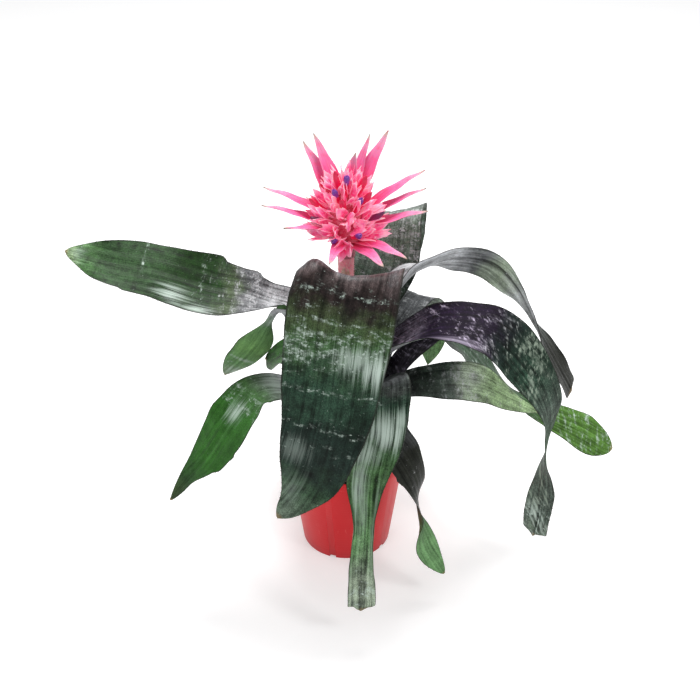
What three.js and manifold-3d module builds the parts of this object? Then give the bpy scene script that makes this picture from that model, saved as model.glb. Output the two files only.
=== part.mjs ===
// A potted urn-plant bromeliad: a rosette of strap leaves round one pink flower head, in a tapered plastic pot.
// Millimetres, z up, the front of the plant towards -y, the origin at the centre of the pot's base.
import * as THREE from 'three';
import { mergeVertices } from 'three/addons/utils/BufferGeometryUtils.js';
import Module from 'manifold-3d';

const wasm = await Module();
wasm.setup();

// Gap between pieces that rest on one another
const SEAT_GAP = 0.3;

// Pot
const POT_HEIGHT = 115;
const POT_BASE_RADIUS = 47.5;
const POT_NECK_RADIUS = 61.6;
const POT_NECK_HEIGHT = 104;
const POT_RIM_RADIUS = 65;
const POT_RIM_FOOT_RADIUS = 64;
const POT_WALL = 1.6;
const POT_FLOOR = 2;
const POT_SIDES = 40;
const DRAIN_TURNS = [-108, -36, 36, 108, 180];
const DRAIN_WIDTH = 7;
const DRAIN_HEIGHT = 3.2;
const DRAIN_DEPTH = 9;

// Soil
const SOIL_TOP = 99;
const SOIL_BUMP = 1.1;

// Stem: the short stout crown that the leaves grow from, and the flower stalk above it
const CROWN_RADIUS = 38;
const CROWN_FOOT = 82;
const CROWN_SHOULDER = 101;
const CROWN_SLOPE = 1.1;
const CROWN_TOP_RADIUS = 8;
const STALK_RADIUS = 8;
const STALK_TOP = 352;
const STEM_SIDES = 20;

// Leaves: each leaf base wraps round the crown in a layer of its own, the first layer innermost
const LEAF_THICKNESS = 1;
const LEAF_CELLS_ACROSS = 6;
const LEAF_STEP = 23;
const FIRST_LAYER_RADIUS = 11;
const LAYER_PITCH = 2;
const BASE_WIDTH = 66;
const BASE_MOST_WRAP = 140;
const EDGE_WAVE_HEIGHT = 1.5;
const EDGE_WAVE_LENGTH = 85;
const RAGGED_END = 5;

// The sheath of a leaf: height over the leaf's foot and how far it has opened outwards there
const TALL_SHEATH = [[0, 0], [40, 2], [68, 5], [92, 10]];
const MIDDLE_SHEATH = [[0, 0], [28, 1.5], [54, 5], [76, 10]];
const SHORT_SHEATH = [[0, 0], [22, 1.5], [44, 5]];

// Blades, from the innermost leaf outwards. turn is the compass angle of the foot, heading that of the blade.
// Each blade row is x, y, z of the midrib, then the width, the roll about the midrib and the channel angle.
// A swell is a soft rise of the blade: distance along, reach along, place across (-1 to 1), reach across, height.
const LEAVES = [
  {
    name: 'leaf_right_arch', turn: 25, heading: 20, sheath: TALL_SHEATH, tip: 5,
    colour: 0x6a726c,
    blade: [
      [26, 11, 244, 46, 0, 105],
      [38, 16, 274, 46, 0, 105],
      [54, 21, 300, 46, -10, 100],
      [72, 25, 316, 44, -30, 80],
      [107, 30, 325, 44, -58, 20],
      [144, 35, 315, 35, -66, 20],
      [170, 37, 288, 26, -50, 20],
      [187, 38, 261, 22, -10, 20],
      [208, 38, 225, 32, 34, 20],
      [243, 40, 161, 32, 46, 10],
    ],
  },
  {
    name: 'leaf_front_broad', turn: -100, heading: -98, sheath: TALL_SHEATH, tip: 12,
    swells: [[262, 34, -0.66, 0.3, 11], [262, 34, -1.05, 0.2, -9], [470, 30, 1, 0.35, 4]],
    colour: 0x2f4038,
    blade: [
      [-1, -29, 248, 52, 0, 105],
      [0, -38, 290, 82, 0, 65],
      [4, -55, 337, 94, 0, 50],
      [4, -82, 368, 100, 0, 36],
      [-7, -115, 330, 101, 0, -12],
      [-14, -135, 279, 92, 0, -10],
      [-23, -147, 231, 78, 0, -6],
      [-35, -152, 189, 58, 0, 0],
      [-50, -153, 162, 30, 0, 0],
      [-66, -153, 145, 10, 0, 0],
    ],
  },
  {
    name: 'leaf_back_tall', turn: 78, heading: 78, sheath: TALL_SHEATH, tip: 70,
    colour: 0x46534a,
    blade: [
      [11, 32, 246, 50, 0, 95],
      [24, 44, 272, 60, 0, 65],
      [38, 60, 307, 76, 0, 40],
      [44, 85, 347, 74, -10, 25],
      [50, 120, 334, 72, -10, 25],
      [55, 160, 282, 60, 0, 20],
      [60, 185, 204, 30, 0, 20],
    ],
  },
  {
    name: 'leaf_left_long', turn: 164, heading: 172, sheath: TALL_SHEATH, base: 54, tip: 75,
    colour: 0x4a6a4c,
    blade: [
      [-31, 15, 242, 44, 0, 105],
      [-43, 17, 270, 50, 0, 120],
      [-62, 20, 279, 46, 0, 120],
      [-81, 21, 284, 44, -8, 70],
      [-100, 22, 291, 54, -22, 40],
      [-138, 25, 297, 69, -30, 20],
      [-188, 30, 312, 62, -30, 10],
      [-238, 35, 320, 58, -30, 10],
      [-283, 38, 332, 40, -30, 0],
    ],
  },
  {
    name: 'leaf_right_dark', turn: -18, heading: -18, sheath: TALL_SHEATH, tip: 10, ragged: true,
    colour: 0x2c2f30,
    blade: [
      [42, -14, 240, 54, 0, 105],
      [62, -22, 263, 62, 0, 92],
      [92, -35, 286, 64, 8, 60],
      [137, -50, 291, 62, 16, 30],
      [174, -60, 261, 51, 40, 20],
      [200, -65, 214, 40, 20, 20],
      [202, -66, 158, 33, -8, 20],
      [201, -66, 96, 30, -70, 10],
      [197, -66, 47, 28, -75, 0],
    ],
  },
  {
    name: 'leaf_back_low', turn: 98, heading: 106, sheath: MIDDLE_SHEATH, base: 56, tip: 60,
    colour: 0x3f5443,
    blade: [
      [-12, 46, 220, 50, 0, 80],
      [-17, 68, 240, 56, 0, 50],
      [-21, 96, 244, 60, 0, 25],
      [-27, 140, 210, 60, 0, 10],
      [-34, 180, 132, 46, 0, 10],
      [-37, 195, 73, 20, 0, 10],
    ],
  },
  {
    name: 'leaf_front_drape', turn: -72, heading: -80, sheath: MIDDLE_SHEATH, tip: 8, ragged: true,
    colour: 0x3d5a44,
    blade: [
      [29, -80, 248, 66, 0, 60],
      [28, -108, 250, 66, 0, 25],
      [27, -126, 221, 60, 0, 40],
      [18, -139, 178, 42, 0, 90],
      [17, -152, 134, 34, 10, 200],
      [15, -162, 86, 34, 10, 150],
      [15, -170, 39, 28, 0, 60],
    ],
  },
  {
    name: 'leaf_left_small', turn: 197, heading: 180, sheath: SHORT_SHEATH, base: 54, tip: 26,
    colour: 0x7f9a80,
    blade: [
      [-34, -17, 190, 32, 0, 75],
      [-42, -23, 230, 32, 0, 110],
      [-52, -28, 275, 28, 0, 130],
      [-64, -29, 300, 20, 20, 130],
      [-75, -29, 287, 15, 50, 90],
      [-88, -28, 264, 40, 60, 30],
      [-100, -28, 248, 40, 60, 20],
      [-122, -28, 226, 30, 60, 10],
    ],
  },
  {
    name: 'leaf_back_right', turn: 50, heading: 55, sheath: MIDDLE_SHEATH, tip: 40,
    colour: 0x5d6b60,
    blade: [
      [40, 48, 220, 42, 0, 85],
      [62, 67, 248, 44, 0, 50],
      [76, 88, 253, 50, 0, 20],
      [90, 118, 216, 50, 0, 10],
      [95, 138, 168, 36, 0, 10],
      [94, 146, 127, 20, 0, 10],
    ],
  },
  {
    name: 'leaf_left_low', turn: 212, heading: 212, sheath: SHORT_SHEATH, tip: 36,
    colour: 0x3c5f35,
    blade: [
      [-46, -40, 209, 52, 0, 60],
      [-85, -60, 228, 56, 0, 25],
      [-114, -80, 203, 66, 0, 15],
      [-139, -91, 168, 54, 0, 10],
      [-158, -97, 147, 22, 0, 10],
      [-176, -102, 125, 12, 0, 10],
    ],
  },
  {
    name: 'leaf_right_green_tip', turn: 15, heading: 12, sheath: SHORT_SHEATH, tip: 36,
    colour: 0x6f9455,
    blade: [
      [46, 9, 186, 44, 0, 88],
      [62, 3, 222, 42, 0, 62],
      [78, 9, 243, 45, 5, 50],
      [90, 21, 249, 44, 10, 40],
      [105, 28, 239, 48, 15, 30],
      [125, 38, 218, 50, 20, 25],
      [154, 42, 181, 48, 10, 20],
      [181, 38, 155, 42, 0, 20],
      [215, 30, 136, 44, 12, 15],
      [257, 25, 117, 48, 34, 10],
      [291, 25, 94, 40, 34, 5],
    ],
  },
  {
    name: 'leaf_back_left', turn: 140, heading: 145, sheath: SHORT_SHEATH, tip: 34,
    colour: 0x3e5b3c,
    blade: [
      [-31, 60, 175, 56, 0, 50],
      [-51, 80, 180, 56, 0, 25],
      [-70, 108, 166, 46, -25, 10],
      [-92, 130, 143, 36, -45, 10],
    ],
  },
  {
    name: 'leaf_right_low', turn: -6, heading: -4, sheath: SHORT_SHEATH, tip: 60,
    colour: 0x5b6b5a,
    blade: [
      [56, -10, 193, 50, 0, 60],
      [96, -12, 207, 46, 20, 30],
      [138, -12, 203, 48, 20, 15],
      [170, -10, 184, 38, 10, 10],
      [200, -8, 166, 20, 0, 5],
    ],
  },
  {
    name: 'leaf_right_twisted', turn: -46, heading: -46, sheath: SHORT_SHEATH, tip: 45,
    colour: 0x4c5c48,
    blade: [
      [40, -62, 172, 52, 0, 40],
      [56, -80, 164, 48, 0, 15],
      [71, -90, 135, 38, -20, 10],
      [73, -95, 105, 32, -55, 10],
      [82, -102, 66, 31, 0, 10],
      [101, -108, 33, 22, 0, 5],
    ],
  },
];

// Flower head: a cone-shaped core that the bracts and flowers stand out of
const HEAD_BASE = 347;
const HEAD_CORE = [[0, 360], [7, 357], [15, 362], [19, 374], [18, 390], [12, 408], [5, 420], [0, 423]];
const HEAD_COLLAR_RADIUS = 9.5;
const BRACT_THICKNESS = 0.9;

// Long bracts: x, y, z of the point, the height of the root on the core, and the widest width
const LONG_BRACTS = [
  [-41, 40, 449, 392, 20],
  [-31, 43, 456, 400, 18],
  [9, 10, 450, 412, 19],
  [23, 43, 455, 402, 13],
  [41, 45, 458, 398, 21],
  [76, 25, 426, 386, 18],
  [77, 12, 413, 380, 16],
  [78, -9, 399, 372, 21],
  [57, -55, 372, 366, 18],
  [35, -71, 372, 364, 19],
  [-15, -79, 379, 366, 15],
  [-57, -52, 402, 374, 15],
  [-80, -5, 403, 376, 16],
  [-79, 16, 412, 384, 17],
  [37, 70, 383, 366, 17],
  [9, 78, 376, 364, 18],
  [-13, 78, 384, 368, 17],
  [-40, 66, 378, 365, 17],
];

// Short floral bracts, set in a spiral up the core
const SHORT_BRACT_COUNT = 38;
const SHORT_BRACT_LENGTH = 25;
const SHORT_BRACT_WIDTH = 9.5;

// Flowers and buds: compass angle, height of the root on the core, length past the core
const FLOWERS = [
  [-122, 404, 13], [-54, 398, 13], [-70, 374, 17], [-86, 412, 17], [-110, 370, 13], [-158, 380, 15],
  [-18, 382, 19], [-20, 408, 19], [-34, 398, 19], [-140, 414, 17], [-154, 404, 11], [-98, 398, 15],
  [-170, 390, 19], [60, 390, 17], [150, 396, 17],
];
const FLOWER_RADIUS = 2.3;

const rad = THREE.MathUtils.degToRad;

function seededRandom(seed) {
  let state = seed;
  return () => {
    state = (state * 16807) % 2147483647;
    return state / 2147483647;
  };
}

// Solids

function toSolid(geometry) {
  const bare = geometry.clone();
  bare.deleteAttribute('normal');
  bare.deleteAttribute('uv');
  const merged = mergeVertices(bare, 1e-3);
  return new wasm.Manifold(new wasm.Mesh({
    numProp: 3,
    vertProperties: new Float32Array(merged.attributes.position.array),
    triVerts: new Uint32Array(merged.index.array),
  }));
}

function toGeometry(solid) {
  const mesh = solid.getMesh();
  const geometry = new THREE.BufferGeometry();
  geometry.setAttribute('position', new THREE.BufferAttribute(mesh.vertProperties, 3));
  geometry.setIndex(new THREE.BufferAttribute(mesh.triVerts, 1));
  geometry.computeVertexNormals();
  return geometry;
}

// A solid of revolution about z from [radius, height] pairs, listed with the solid on the left
function turned(profile, sides) {
  const points = profile.map(([radius, height]) => new THREE.Vector2(radius, height));
  return new THREE.LatheGeometry(points, sides).rotateX(Math.PI / 2);
}

// Evenly spaced stations along a smooth curve through the rows, with the frame of each
function stationsAlong(rows, count) {
  const curve = new THREE.CatmullRomCurve3(
    rows.map(([x, y, z]) => new THREE.Vector3(x, y, z)), false, 'centripetal');
  const fine = 200;
  const points = [];
  const values = [];
  for (let k = 0; k <= fine; k++) {
    const t = k / fine;
    points.push(curve.getPoint(t));
    values.push(smoothValues(rows, t));
  }
  const lengths = [0];
  for (let k = 1; k <= fine; k++) lengths.push(lengths[k - 1] + points[k].distanceTo(points[k - 1]));
  const total = lengths[fine];
  const stations = [];
  let k = 0;
  for (let i = 0; i <= count; i++) {
    const along = (total * i) / count;
    while (k < fine - 1 && lengths[k + 1] <= along) k++;
    const part = (along - lengths[k]) / (lengths[k + 1] - lengths[k]);
    const tangent = points[Math.min(k + 2, fine)].clone().sub(points[Math.max(k - 1, 0)]).normalize();
    stations.push({
      along,
      left: total - along,
      place: points[k].clone().lerp(points[k + 1], part),
      tangent,
      values: values[k].map((v, n) => v + (values[k + 1][n] - v) * part),
    });
  }
  return stations;
}

// The numbers after x, y, z of each row, eased through the rows the same way
function smoothValues(rows, t) {
  const last = rows.length - 1;
  const i = Math.min(Math.floor(t * last), last - 1);
  const f = t * last - i;
  const row = (n) => rows[THREE.MathUtils.clamp(n, 0, last)];
  return rows[0].slice(3).map((_, n) => {
    const c = n + 3;
    const before = i > 0 ? row(i - 1)[c] : 2 * row(0)[c] - row(1)[c];
    const after = i + 2 <= last ? row(i + 2)[c] : 2 * row(last)[c] - row(last - 1)[c];
    const slopeIn = (row(i + 1)[c] - before) / 2;
    const slopeOut = (after - row(i)[c]) / 2;
    const rise = row(i + 1)[c] - row(i)[c];
    return row(i)[c] + slopeIn * f + (3 * rise - 2 * slopeIn - slopeOut) * f * f
      + (slopeIn + slopeOut - 2 * rise) * f * f * f;
  });
}

// A blade with the same thickness all over. Each row is x, y, z, width, roll, channel angle, heading.
function bladeGeometry(rows, shape) {
  const { cells, step, thickness, tip, tipPower = 0.6, tipWidth = 1.4, rise = () => 0, ragged } = shape;
  const rough = stationsAlong(rows, 2);
  const count = Math.max(shape.fewest ?? 6, Math.round((rough[0].left) / step));
  const stations = stationsAlong(rows, count);
  const upper = [];
  const under = [];
  stations.forEach((station, i) => {
    const [width, roll, channel, heading] = station.values;
    const level = new THREE.Vector3(-Math.sin(rad(heading)), Math.cos(rad(heading)), 0);
    const side = level.addScaledVector(station.tangent, -level.dot(station.tangent)).normalize();
    const face = station.tangent.clone().cross(side);
    const across = side.clone().multiplyScalar(Math.cos(rad(roll))).addScaledVector(face, Math.sin(rad(roll)));
    const lift = face.clone().multiplyScalar(Math.cos(rad(roll))).addScaledVector(side, -Math.sin(rad(roll)));
    const share = THREE.MathUtils.clamp(station.left / tip, 0, 1);
    const narrowed = Math.max(width * (1 - (1 - share) ** 2) ** tipPower, tipWidth);
    const bend = rad(channel);
    const flat = Math.abs(bend) < 1e-3;
    const radius = flat ? 0 : narrowed / bend;
    for (let j = 0; j <= cells; j++) {
      const q = (2 * j) / cells - 1;
      const angle = (q * bend) / 2;
      const point = station.place.clone()
        .addScaledVector(across, flat ? (q * narrowed) / 2 : radius * Math.sin(angle))
        .addScaledVector(lift, (flat ? 0 : radius * (1 - Math.cos(angle))) + rise(station.along, q));
      if (ragged && i === count) point.addScaledVector(station.tangent, -ragged[j % ragged.length]);
      const normal = lift.clone().multiplyScalar(Math.cos(angle)).addScaledVector(across, -Math.sin(angle));
      upper.push(point.clone().addScaledVector(normal, thickness / 2));
      under.push(point.clone().addScaledVector(normal, -thickness / 2));
    }
  });
  return closedSheet(upper, under, count, cells);
}

// Closes two matching grids of points into one body, both faces split along the same diagonals
function closedSheet(upper, under, count, cells) {
  const across = cells + 1;
  const offset = upper.length;
  const index = [];
  const at = (i, j) => i * across + j;
  for (let i = 0; i < count; i++) {
    for (let j = 0; j < cells; j++) {
      const [a, b, c, d] = [at(i, j), at(i + 1, j), at(i + 1, j + 1), at(i, j + 1)];
      index.push(a, b, c, a, c, d);
      index.push(a + offset, c + offset, b + offset, a + offset, d + offset, c + offset);
    }
  }
  const rim = [];
  for (let i = 0; i < count; i++) rim.push(at(i, 0));
  for (let j = 0; j < cells; j++) rim.push(at(count, j));
  for (let i = count; i > 0; i--) rim.push(at(i, cells));
  for (let j = cells; j > 0; j--) rim.push(at(0, j));
  rim.forEach((p, k) => {
    const q = rim[(k + 1) % rim.length];
    index.push(q, p, p + offset, q, p + offset, q + offset);
  });
  const geometry = new THREE.BufferGeometry();
  const points = [...upper, ...under].flatMap((p) => p.toArray());
  geometry.setAttribute('position', new THREE.Float32BufferAttribute(points, 3));
  geometry.setIndex(index);
  geometry.computeVertexNormals();
  return geometry;
}

// Pot and soil

const potSlope = (POT_NECK_RADIUS - POT_BASE_RADIUS) / POT_NECK_HEIGHT;
const potInside = (height) => POT_BASE_RADIUS + potSlope * height - POT_WALL;

function potSolid() {
  let solid = toSolid(turned([
    [0, 0],
    [POT_BASE_RADIUS, 0],
    [POT_NECK_RADIUS, POT_NECK_HEIGHT],
    [POT_RIM_FOOT_RADIUS, POT_NECK_HEIGHT + 1],
    [POT_RIM_RADIUS, POT_HEIGHT],
    [POT_RIM_RADIUS - POT_WALL, POT_HEIGHT],
    [POT_RIM_FOOT_RADIUS - POT_WALL, POT_NECK_HEIGHT + 2],
    [potInside(POT_NECK_HEIGHT), POT_NECK_HEIGHT + 1],
    [potInside(POT_FLOOR), POT_FLOOR],
    [0, POT_FLOOR],
  ], POT_SIDES));
  for (const turn of DRAIN_TURNS) {
    const notch = new THREE.BoxGeometry(DRAIN_DEPTH, DRAIN_WIDTH, 2 * DRAIN_HEIGHT)
      .translate(POT_BASE_RADIUS, 0, 0)
      .rotateZ(rad(turn));
    solid = solid.subtract(toSolid(notch));
  }
  return solid;
}

function soilGeometry() {
  const hole = CROWN_RADIUS + SEAT_GAP + 0.1;
  const geometry = turned([
    [0, POT_FLOOR + SEAT_GAP],
    [potInside(POT_FLOOR) - SEAT_GAP, POT_FLOOR + SEAT_GAP],
    [potInside(SOIL_TOP - 4) - SEAT_GAP, SOIL_TOP - 4],
    [potInside(SOIL_TOP) - 5, SOIL_TOP - 1],
    [potInside(SOIL_TOP) - 11, SOIL_TOP],
    [hole, SOIL_TOP],
    [hole, CROWN_FOOT - SEAT_GAP],
    [0, CROWN_FOOT - SEAT_GAP],
  ], POT_SIDES);
  const place = geometry.attributes.position;
  for (let i = 0; i < place.count; i++) {
    const turn = Math.atan2(place.getY(i), place.getX(i));
    const radius = Math.hypot(place.getX(i), place.getY(i));
    if (place.getZ(i) < SOIL_TOP - 2) continue;
    const bump = Math.sin(5 * turn + radius) + 0.7 * Math.sin(9 * turn + 2 * radius) + 0.5 * Math.sin(17 * turn);
    place.setZ(i, place.getZ(i) + (SOIL_BUMP * bump) / 2);
  }
  return geometry;
}

// Stem

const crownHeight = (radius) => CROWN_SHOULDER + (CROWN_RADIUS - radius) * CROWN_SLOPE;

// The stalk's own narrow bracts clasp it and are grown to it
const STALK_BRACTS = [
  [-150, 226, 58], [-20, 262, 56], [-95, 290, 52],
];

function stemSolid() {
  let solid = toSolid(turned([
    [0, CROWN_FOOT],
    [CROWN_RADIUS, CROWN_FOOT],
    [CROWN_RADIUS, CROWN_SHOULDER],
    [CROWN_TOP_RADIUS, crownHeight(CROWN_TOP_RADIUS)],
    [STALK_RADIUS, crownHeight(CROWN_TOP_RADIUS) + 6],
    [STALK_RADIUS, STALK_TOP],
    [0, STALK_TOP],
  ], STEM_SIDES));
  for (const [turn, foot, length] of STALK_BRACTS) {
    const rows = [[7.6, 0, 130], [8.1, 0.4, 120], [8.4, 0.8, 100], [9.6, 1, 60]].map(([out, part, wrap]) => [
      out * Math.cos(rad(turn)), out * Math.sin(rad(turn)), foot + part * length,
      out * rad(wrap), 0, wrap, turn,
    ]);
    const bract = bladeGeometry(rows, { cells: 4, step: 14, thickness: 1.6, tip: length * 0.8 });
    solid = solid.add(toSolid(bract));
  }
  return solid;
}

// Leaves

function leafRows(leaf, layer) {
  const radius = FIRST_LAYER_RADIUS + layer * LAYER_PITCH;
  const wrapAt = (out) => Math.min(BASE_MOST_WRAP, THREE.MathUtils.radToDeg((leaf.base ?? BASE_WIDTH) / out));
  const flatness = radius * (1 - Math.cos(rad(wrapAt(radius)) / LEAF_CELLS_ACROSS / 2));
  const foot = crownHeight(radius - LEAF_THICKNESS / 2 - flatness) + SEAT_GAP;
  const rows = leaf.sheath.map(([height, opened]) => {
    const out = radius + opened;
    const wrap = wrapAt(out);
    return [out * Math.cos(rad(leaf.turn)), out * Math.sin(rad(leaf.turn)), foot + height,
      out * rad(wrap), 0, wrap, leaf.turn];
  });
  return rows.concat(leaf.blade.map((row) => [...row, leaf.heading]));
}

function leafGeometry(leaf, layer) {
  const random = seededRandom(100 + layer);
  const phase = random() * 2 * Math.PI;
  const ragged = leaf.ragged
    ? Array.from({ length: LEAF_CELLS_ACROSS + 1 }, () => random() * RAGGED_END)
    : null;
  const start = leaf.sheath[leaf.sheath.length - 1][0];
  const wave = (along, q) => EDGE_WAVE_HEIGHT * THREE.MathUtils.smoothstep(along, start + 30, start + 120)
    * Math.sin((2 * Math.PI * along) / EDGE_WAVE_LENGTH + phase + (q > 0 ? 1.3 : 0)) * q * q;
  const swell = (along, q) => (leaf.swells ?? []).reduce((total, [place, reach, across, width, height]) => (
    total + height * Math.exp(-(((along - place) / reach) ** 2) - ((q - across) / width) ** 2)), 0);
  const rise = (along, q) => wave(along, q) + swell(along, q);
  return bladeGeometry(leafRows(leaf, layer), {
    cells: LEAF_CELLS_ACROSS, step: LEAF_STEP, thickness: LEAF_THICKNESS, tip: leaf.tip, fewest: 10, rise, ragged,
  });
}

// Flower head

function coreRadius(height) {
  for (let k = 1; k < HEAD_CORE.length; k++) {
    const [r0, z0] = HEAD_CORE[k - 1];
    const [r1, z1] = HEAD_CORE[k];
    if (height >= z0 && height <= z1 && k > 1) return r0 + ((r1 - r0) * (height - z0)) / (z1 - z0);
  }
  return 5;
}

function longBract([x, y, z, root, width]) {
  const turn = Math.atan2(y, x);
  const inner = coreRadius(root) - 5;
  const start = new THREE.Vector3(inner * Math.cos(turn), inner * Math.sin(turn), root);
  const end = new THREE.Vector3(x, y, z);
  const heading = THREE.MathUtils.radToDeg(turn);
  const along = (t, lift) => {
    const p = start.clone().lerp(end, t);
    return [p.x, p.y, p.z + lift];
  };
  const rise = 0.04 * start.distanceTo(end);
  const rows = [
    [...along(0, 0), width * 0.9, 0, 70, heading],
    [...along(0.3, rise), width, 0, 55, heading],
    [...along(0.65, rise), width * 0.6, 0, 40, heading],
    [...along(1, 0), width * 0.1, 0, 20, heading],
  ];
  return bladeGeometry(rows, {
    cells: 2, step: 12, fewest: 7, thickness: BRACT_THICKNESS, tip: 6, tipWidth: 0.9,
  });
}

function shortBract(k, random) {
  const height = 364 + (54 * k) / SHORT_BRACT_COUNT;
  const turn = k * 137.508 + (random() - 0.5) * 14;
  const steep = rad(12 + (62 * k) / SHORT_BRACT_COUNT + (random() - 0.5) * 14);
  const length = SHORT_BRACT_LENGTH * (0.85 + 0.3 * random());
  const inner = coreRadius(height) - 4;
  const at = (t, lift) => {
    const out = inner + t * length * Math.cos(steep);
    return [out * Math.cos(rad(turn)), out * Math.sin(rad(turn)), height + t * length * Math.sin(steep) + lift];
  };
  const rows = [
    [...at(0, 0), SHORT_BRACT_WIDTH * 0.7, 0, 110, turn],
    [...at(0.5, 1), SHORT_BRACT_WIDTH, 0, 110, turn],
    [...at(1, 0.5), SHORT_BRACT_WIDTH * 0.2, 0, 60, turn],
  ];
  return bladeGeometry(rows, {
    cells: 2, step: 9, fewest: 3, thickness: BRACT_THICKNESS, tip: 8, tipWidth: 0.9,
  });
}

function flower([turn, root, length]) {
  const inner = coreRadius(root) - 3;
  const steep = rad(20 + (root - 366) * 1.1);
  const reach = length + 3;
  return new THREE.CylinderGeometry(FLOWER_RADIUS * 0.5, FLOWER_RADIUS * 0.8, reach, 6, 1)
    .translate(0, reach / 2, 0)
    .rotateZ(-Math.PI / 2 + steep)
    .rotateX(Math.PI / 2)
    .translate(inner, 0, root)
    .rotateZ(rad(turn));
}

function headSolid() {
  const core = HEAD_CORE.slice(1, -1);
  let solid = toSolid(turned([
    [0, HEAD_BASE], [HEAD_COLLAR_RADIUS, HEAD_BASE], [HEAD_COLLAR_RADIUS + 1, 356],
    ...core.slice(1), [0, HEAD_CORE[HEAD_CORE.length - 1][1]],
  ], 10));
  for (const bract of LONG_BRACTS) solid = solid.add(toSolid(longBract(bract)));
  const random = seededRandom(7);
  for (let k = 0; k < SHORT_BRACT_COUNT; k++) solid = solid.add(toSolid(shortBract(k, random)));
  for (const bud of FLOWERS) solid = solid.add(toSolid(flower(bud)));
  const socket = turned([
    [0, HEAD_BASE - 1],
    [STALK_RADIUS + SEAT_GAP, HEAD_BASE - 1],
    [STALK_RADIUS + SEAT_GAP, STALK_TOP + SEAT_GAP],
    [0, STALK_TOP + SEAT_GAP],
  ], STEM_SIDES);
  return solid.subtract(toSolid(socket));
}

// The plant

function piece(name, geometry, colour, roughness) {
  const mesh = new THREE.Mesh(geometry, new THREE.MeshStandardMaterial({ color: colour, roughness, metalness: 0 }));
  mesh.name = name;
  return mesh;
}

const plant = new THREE.Group();
plant.name = 'potted_bromeliad';
plant.add(piece('pot', toGeometry(potSolid()), 0xc43237, 0.45));
plant.add(piece('soil', soilGeometry(), 0x3a2a20, 0.95));
plant.add(piece('stem', toGeometry(stemSolid()), 0xb5637a, 0.7));
plant.add(piece('flower_head', toGeometry(headSolid()), 0xf0568f, 0.6));
LEAVES.forEach((leaf, layer) => plant.add(piece(leaf.name, leafGeometry(leaf, layer), leaf.colour, 0.5)));

export default plant;
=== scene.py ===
import math

import bpy
import numpy as np
from mathutils import Matrix, Vector, noise


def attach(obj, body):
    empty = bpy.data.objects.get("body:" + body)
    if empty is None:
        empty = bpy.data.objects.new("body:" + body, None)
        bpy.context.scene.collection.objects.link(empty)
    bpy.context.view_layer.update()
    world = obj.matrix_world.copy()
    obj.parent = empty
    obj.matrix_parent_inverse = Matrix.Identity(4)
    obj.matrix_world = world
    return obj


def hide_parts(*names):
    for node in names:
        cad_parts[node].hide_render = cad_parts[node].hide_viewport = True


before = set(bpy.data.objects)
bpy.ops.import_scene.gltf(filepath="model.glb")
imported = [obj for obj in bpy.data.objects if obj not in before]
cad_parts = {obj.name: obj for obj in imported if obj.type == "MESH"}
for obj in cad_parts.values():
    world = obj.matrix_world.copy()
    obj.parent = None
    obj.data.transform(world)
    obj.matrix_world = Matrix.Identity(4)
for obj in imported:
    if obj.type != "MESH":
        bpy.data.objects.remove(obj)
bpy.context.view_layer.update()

MM = 0.001

# Pot and soil
POT_HEIGHT = 115
POT_BASE_RADIUS = 47.5
POT_NECK_RADIUS = 61.6
POT_NECK_HEIGHT = 104
POT_RIM_RADIUS = 65
POT_RIM_FOOT_RADIUS = 64
POT_WALL = 1.6
POT_FLOOR = 2
DRAIN_TURNS = [-108, -36, 36, 108, 180]
DRAIN_SIZE = (9, 7, 3.2)
ROUND_SIDES = 160
SOIL_TOP = 99
SOIL_FOOT = 2.3
SOIL_GAP = 0.3
BARK_CHIPS = 260

# Stem
CROWN_RADIUS = 38
CROWN_FOOT = 82
CROWN_SHOULDER = 101
CROWN_SLOPE = 1.1
CROWN_TOP_RADIUS = 8
STALK_RADIUS = 8
STALK_TOP = 352
STALK_HAIRS = 1800
STALK_BRACT_HAIRS = 320

# Ribbons: fine samples of a curve, how blunt a tip is, and the bend in radians of a flat strip
CURVE_SAMPLES = 400
TIP_ROUNDNESS = 0.6
LEAST_BEND = 1e-3

# Leaves
LEAF_THICKNESS = 1
LEAF_EDGE_THICKNESS = 0.5
LEAF_CELLS_ACROSS = 22
LEAF_STEP = 3
LEAF_CELLS_IN_SOLID = 6
FIRST_LAYER_RADIUS = 11
LAYER_PITCH = 2
BASE_WIDTH = 66
BASE_MOST_WRAP = 140
EDGE_WAVE_HEIGHT = 1.5
EDGE_WAVE_LENGTH = 85
RAGGED_END = 5
TOOTH_PITCH = 6.5
TOOTH_LENGTH = 0.8
TOOTHLESS_END = 12
RUFFLE_HEIGHT = 0.45
GROOVE_DEPTH = 0.55
PLEAT_HEIGHT = 0.2
MARGIN_WANDER = 0.4
MARGIN_FRAY = 0.15

# The sheath of a leaf: height over the leaf's foot and how far it has opened outwards there
TALL_SHEATH = [[0, 0], [40, 2], [68, 5], [92, 10]]
MIDDLE_SHEATH = [[0, 0], [28, 1.5], [54, 5], [76, 10]]
SHORT_SHEATH = [[0, 0], [22, 1.5], [44, 5]]

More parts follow.
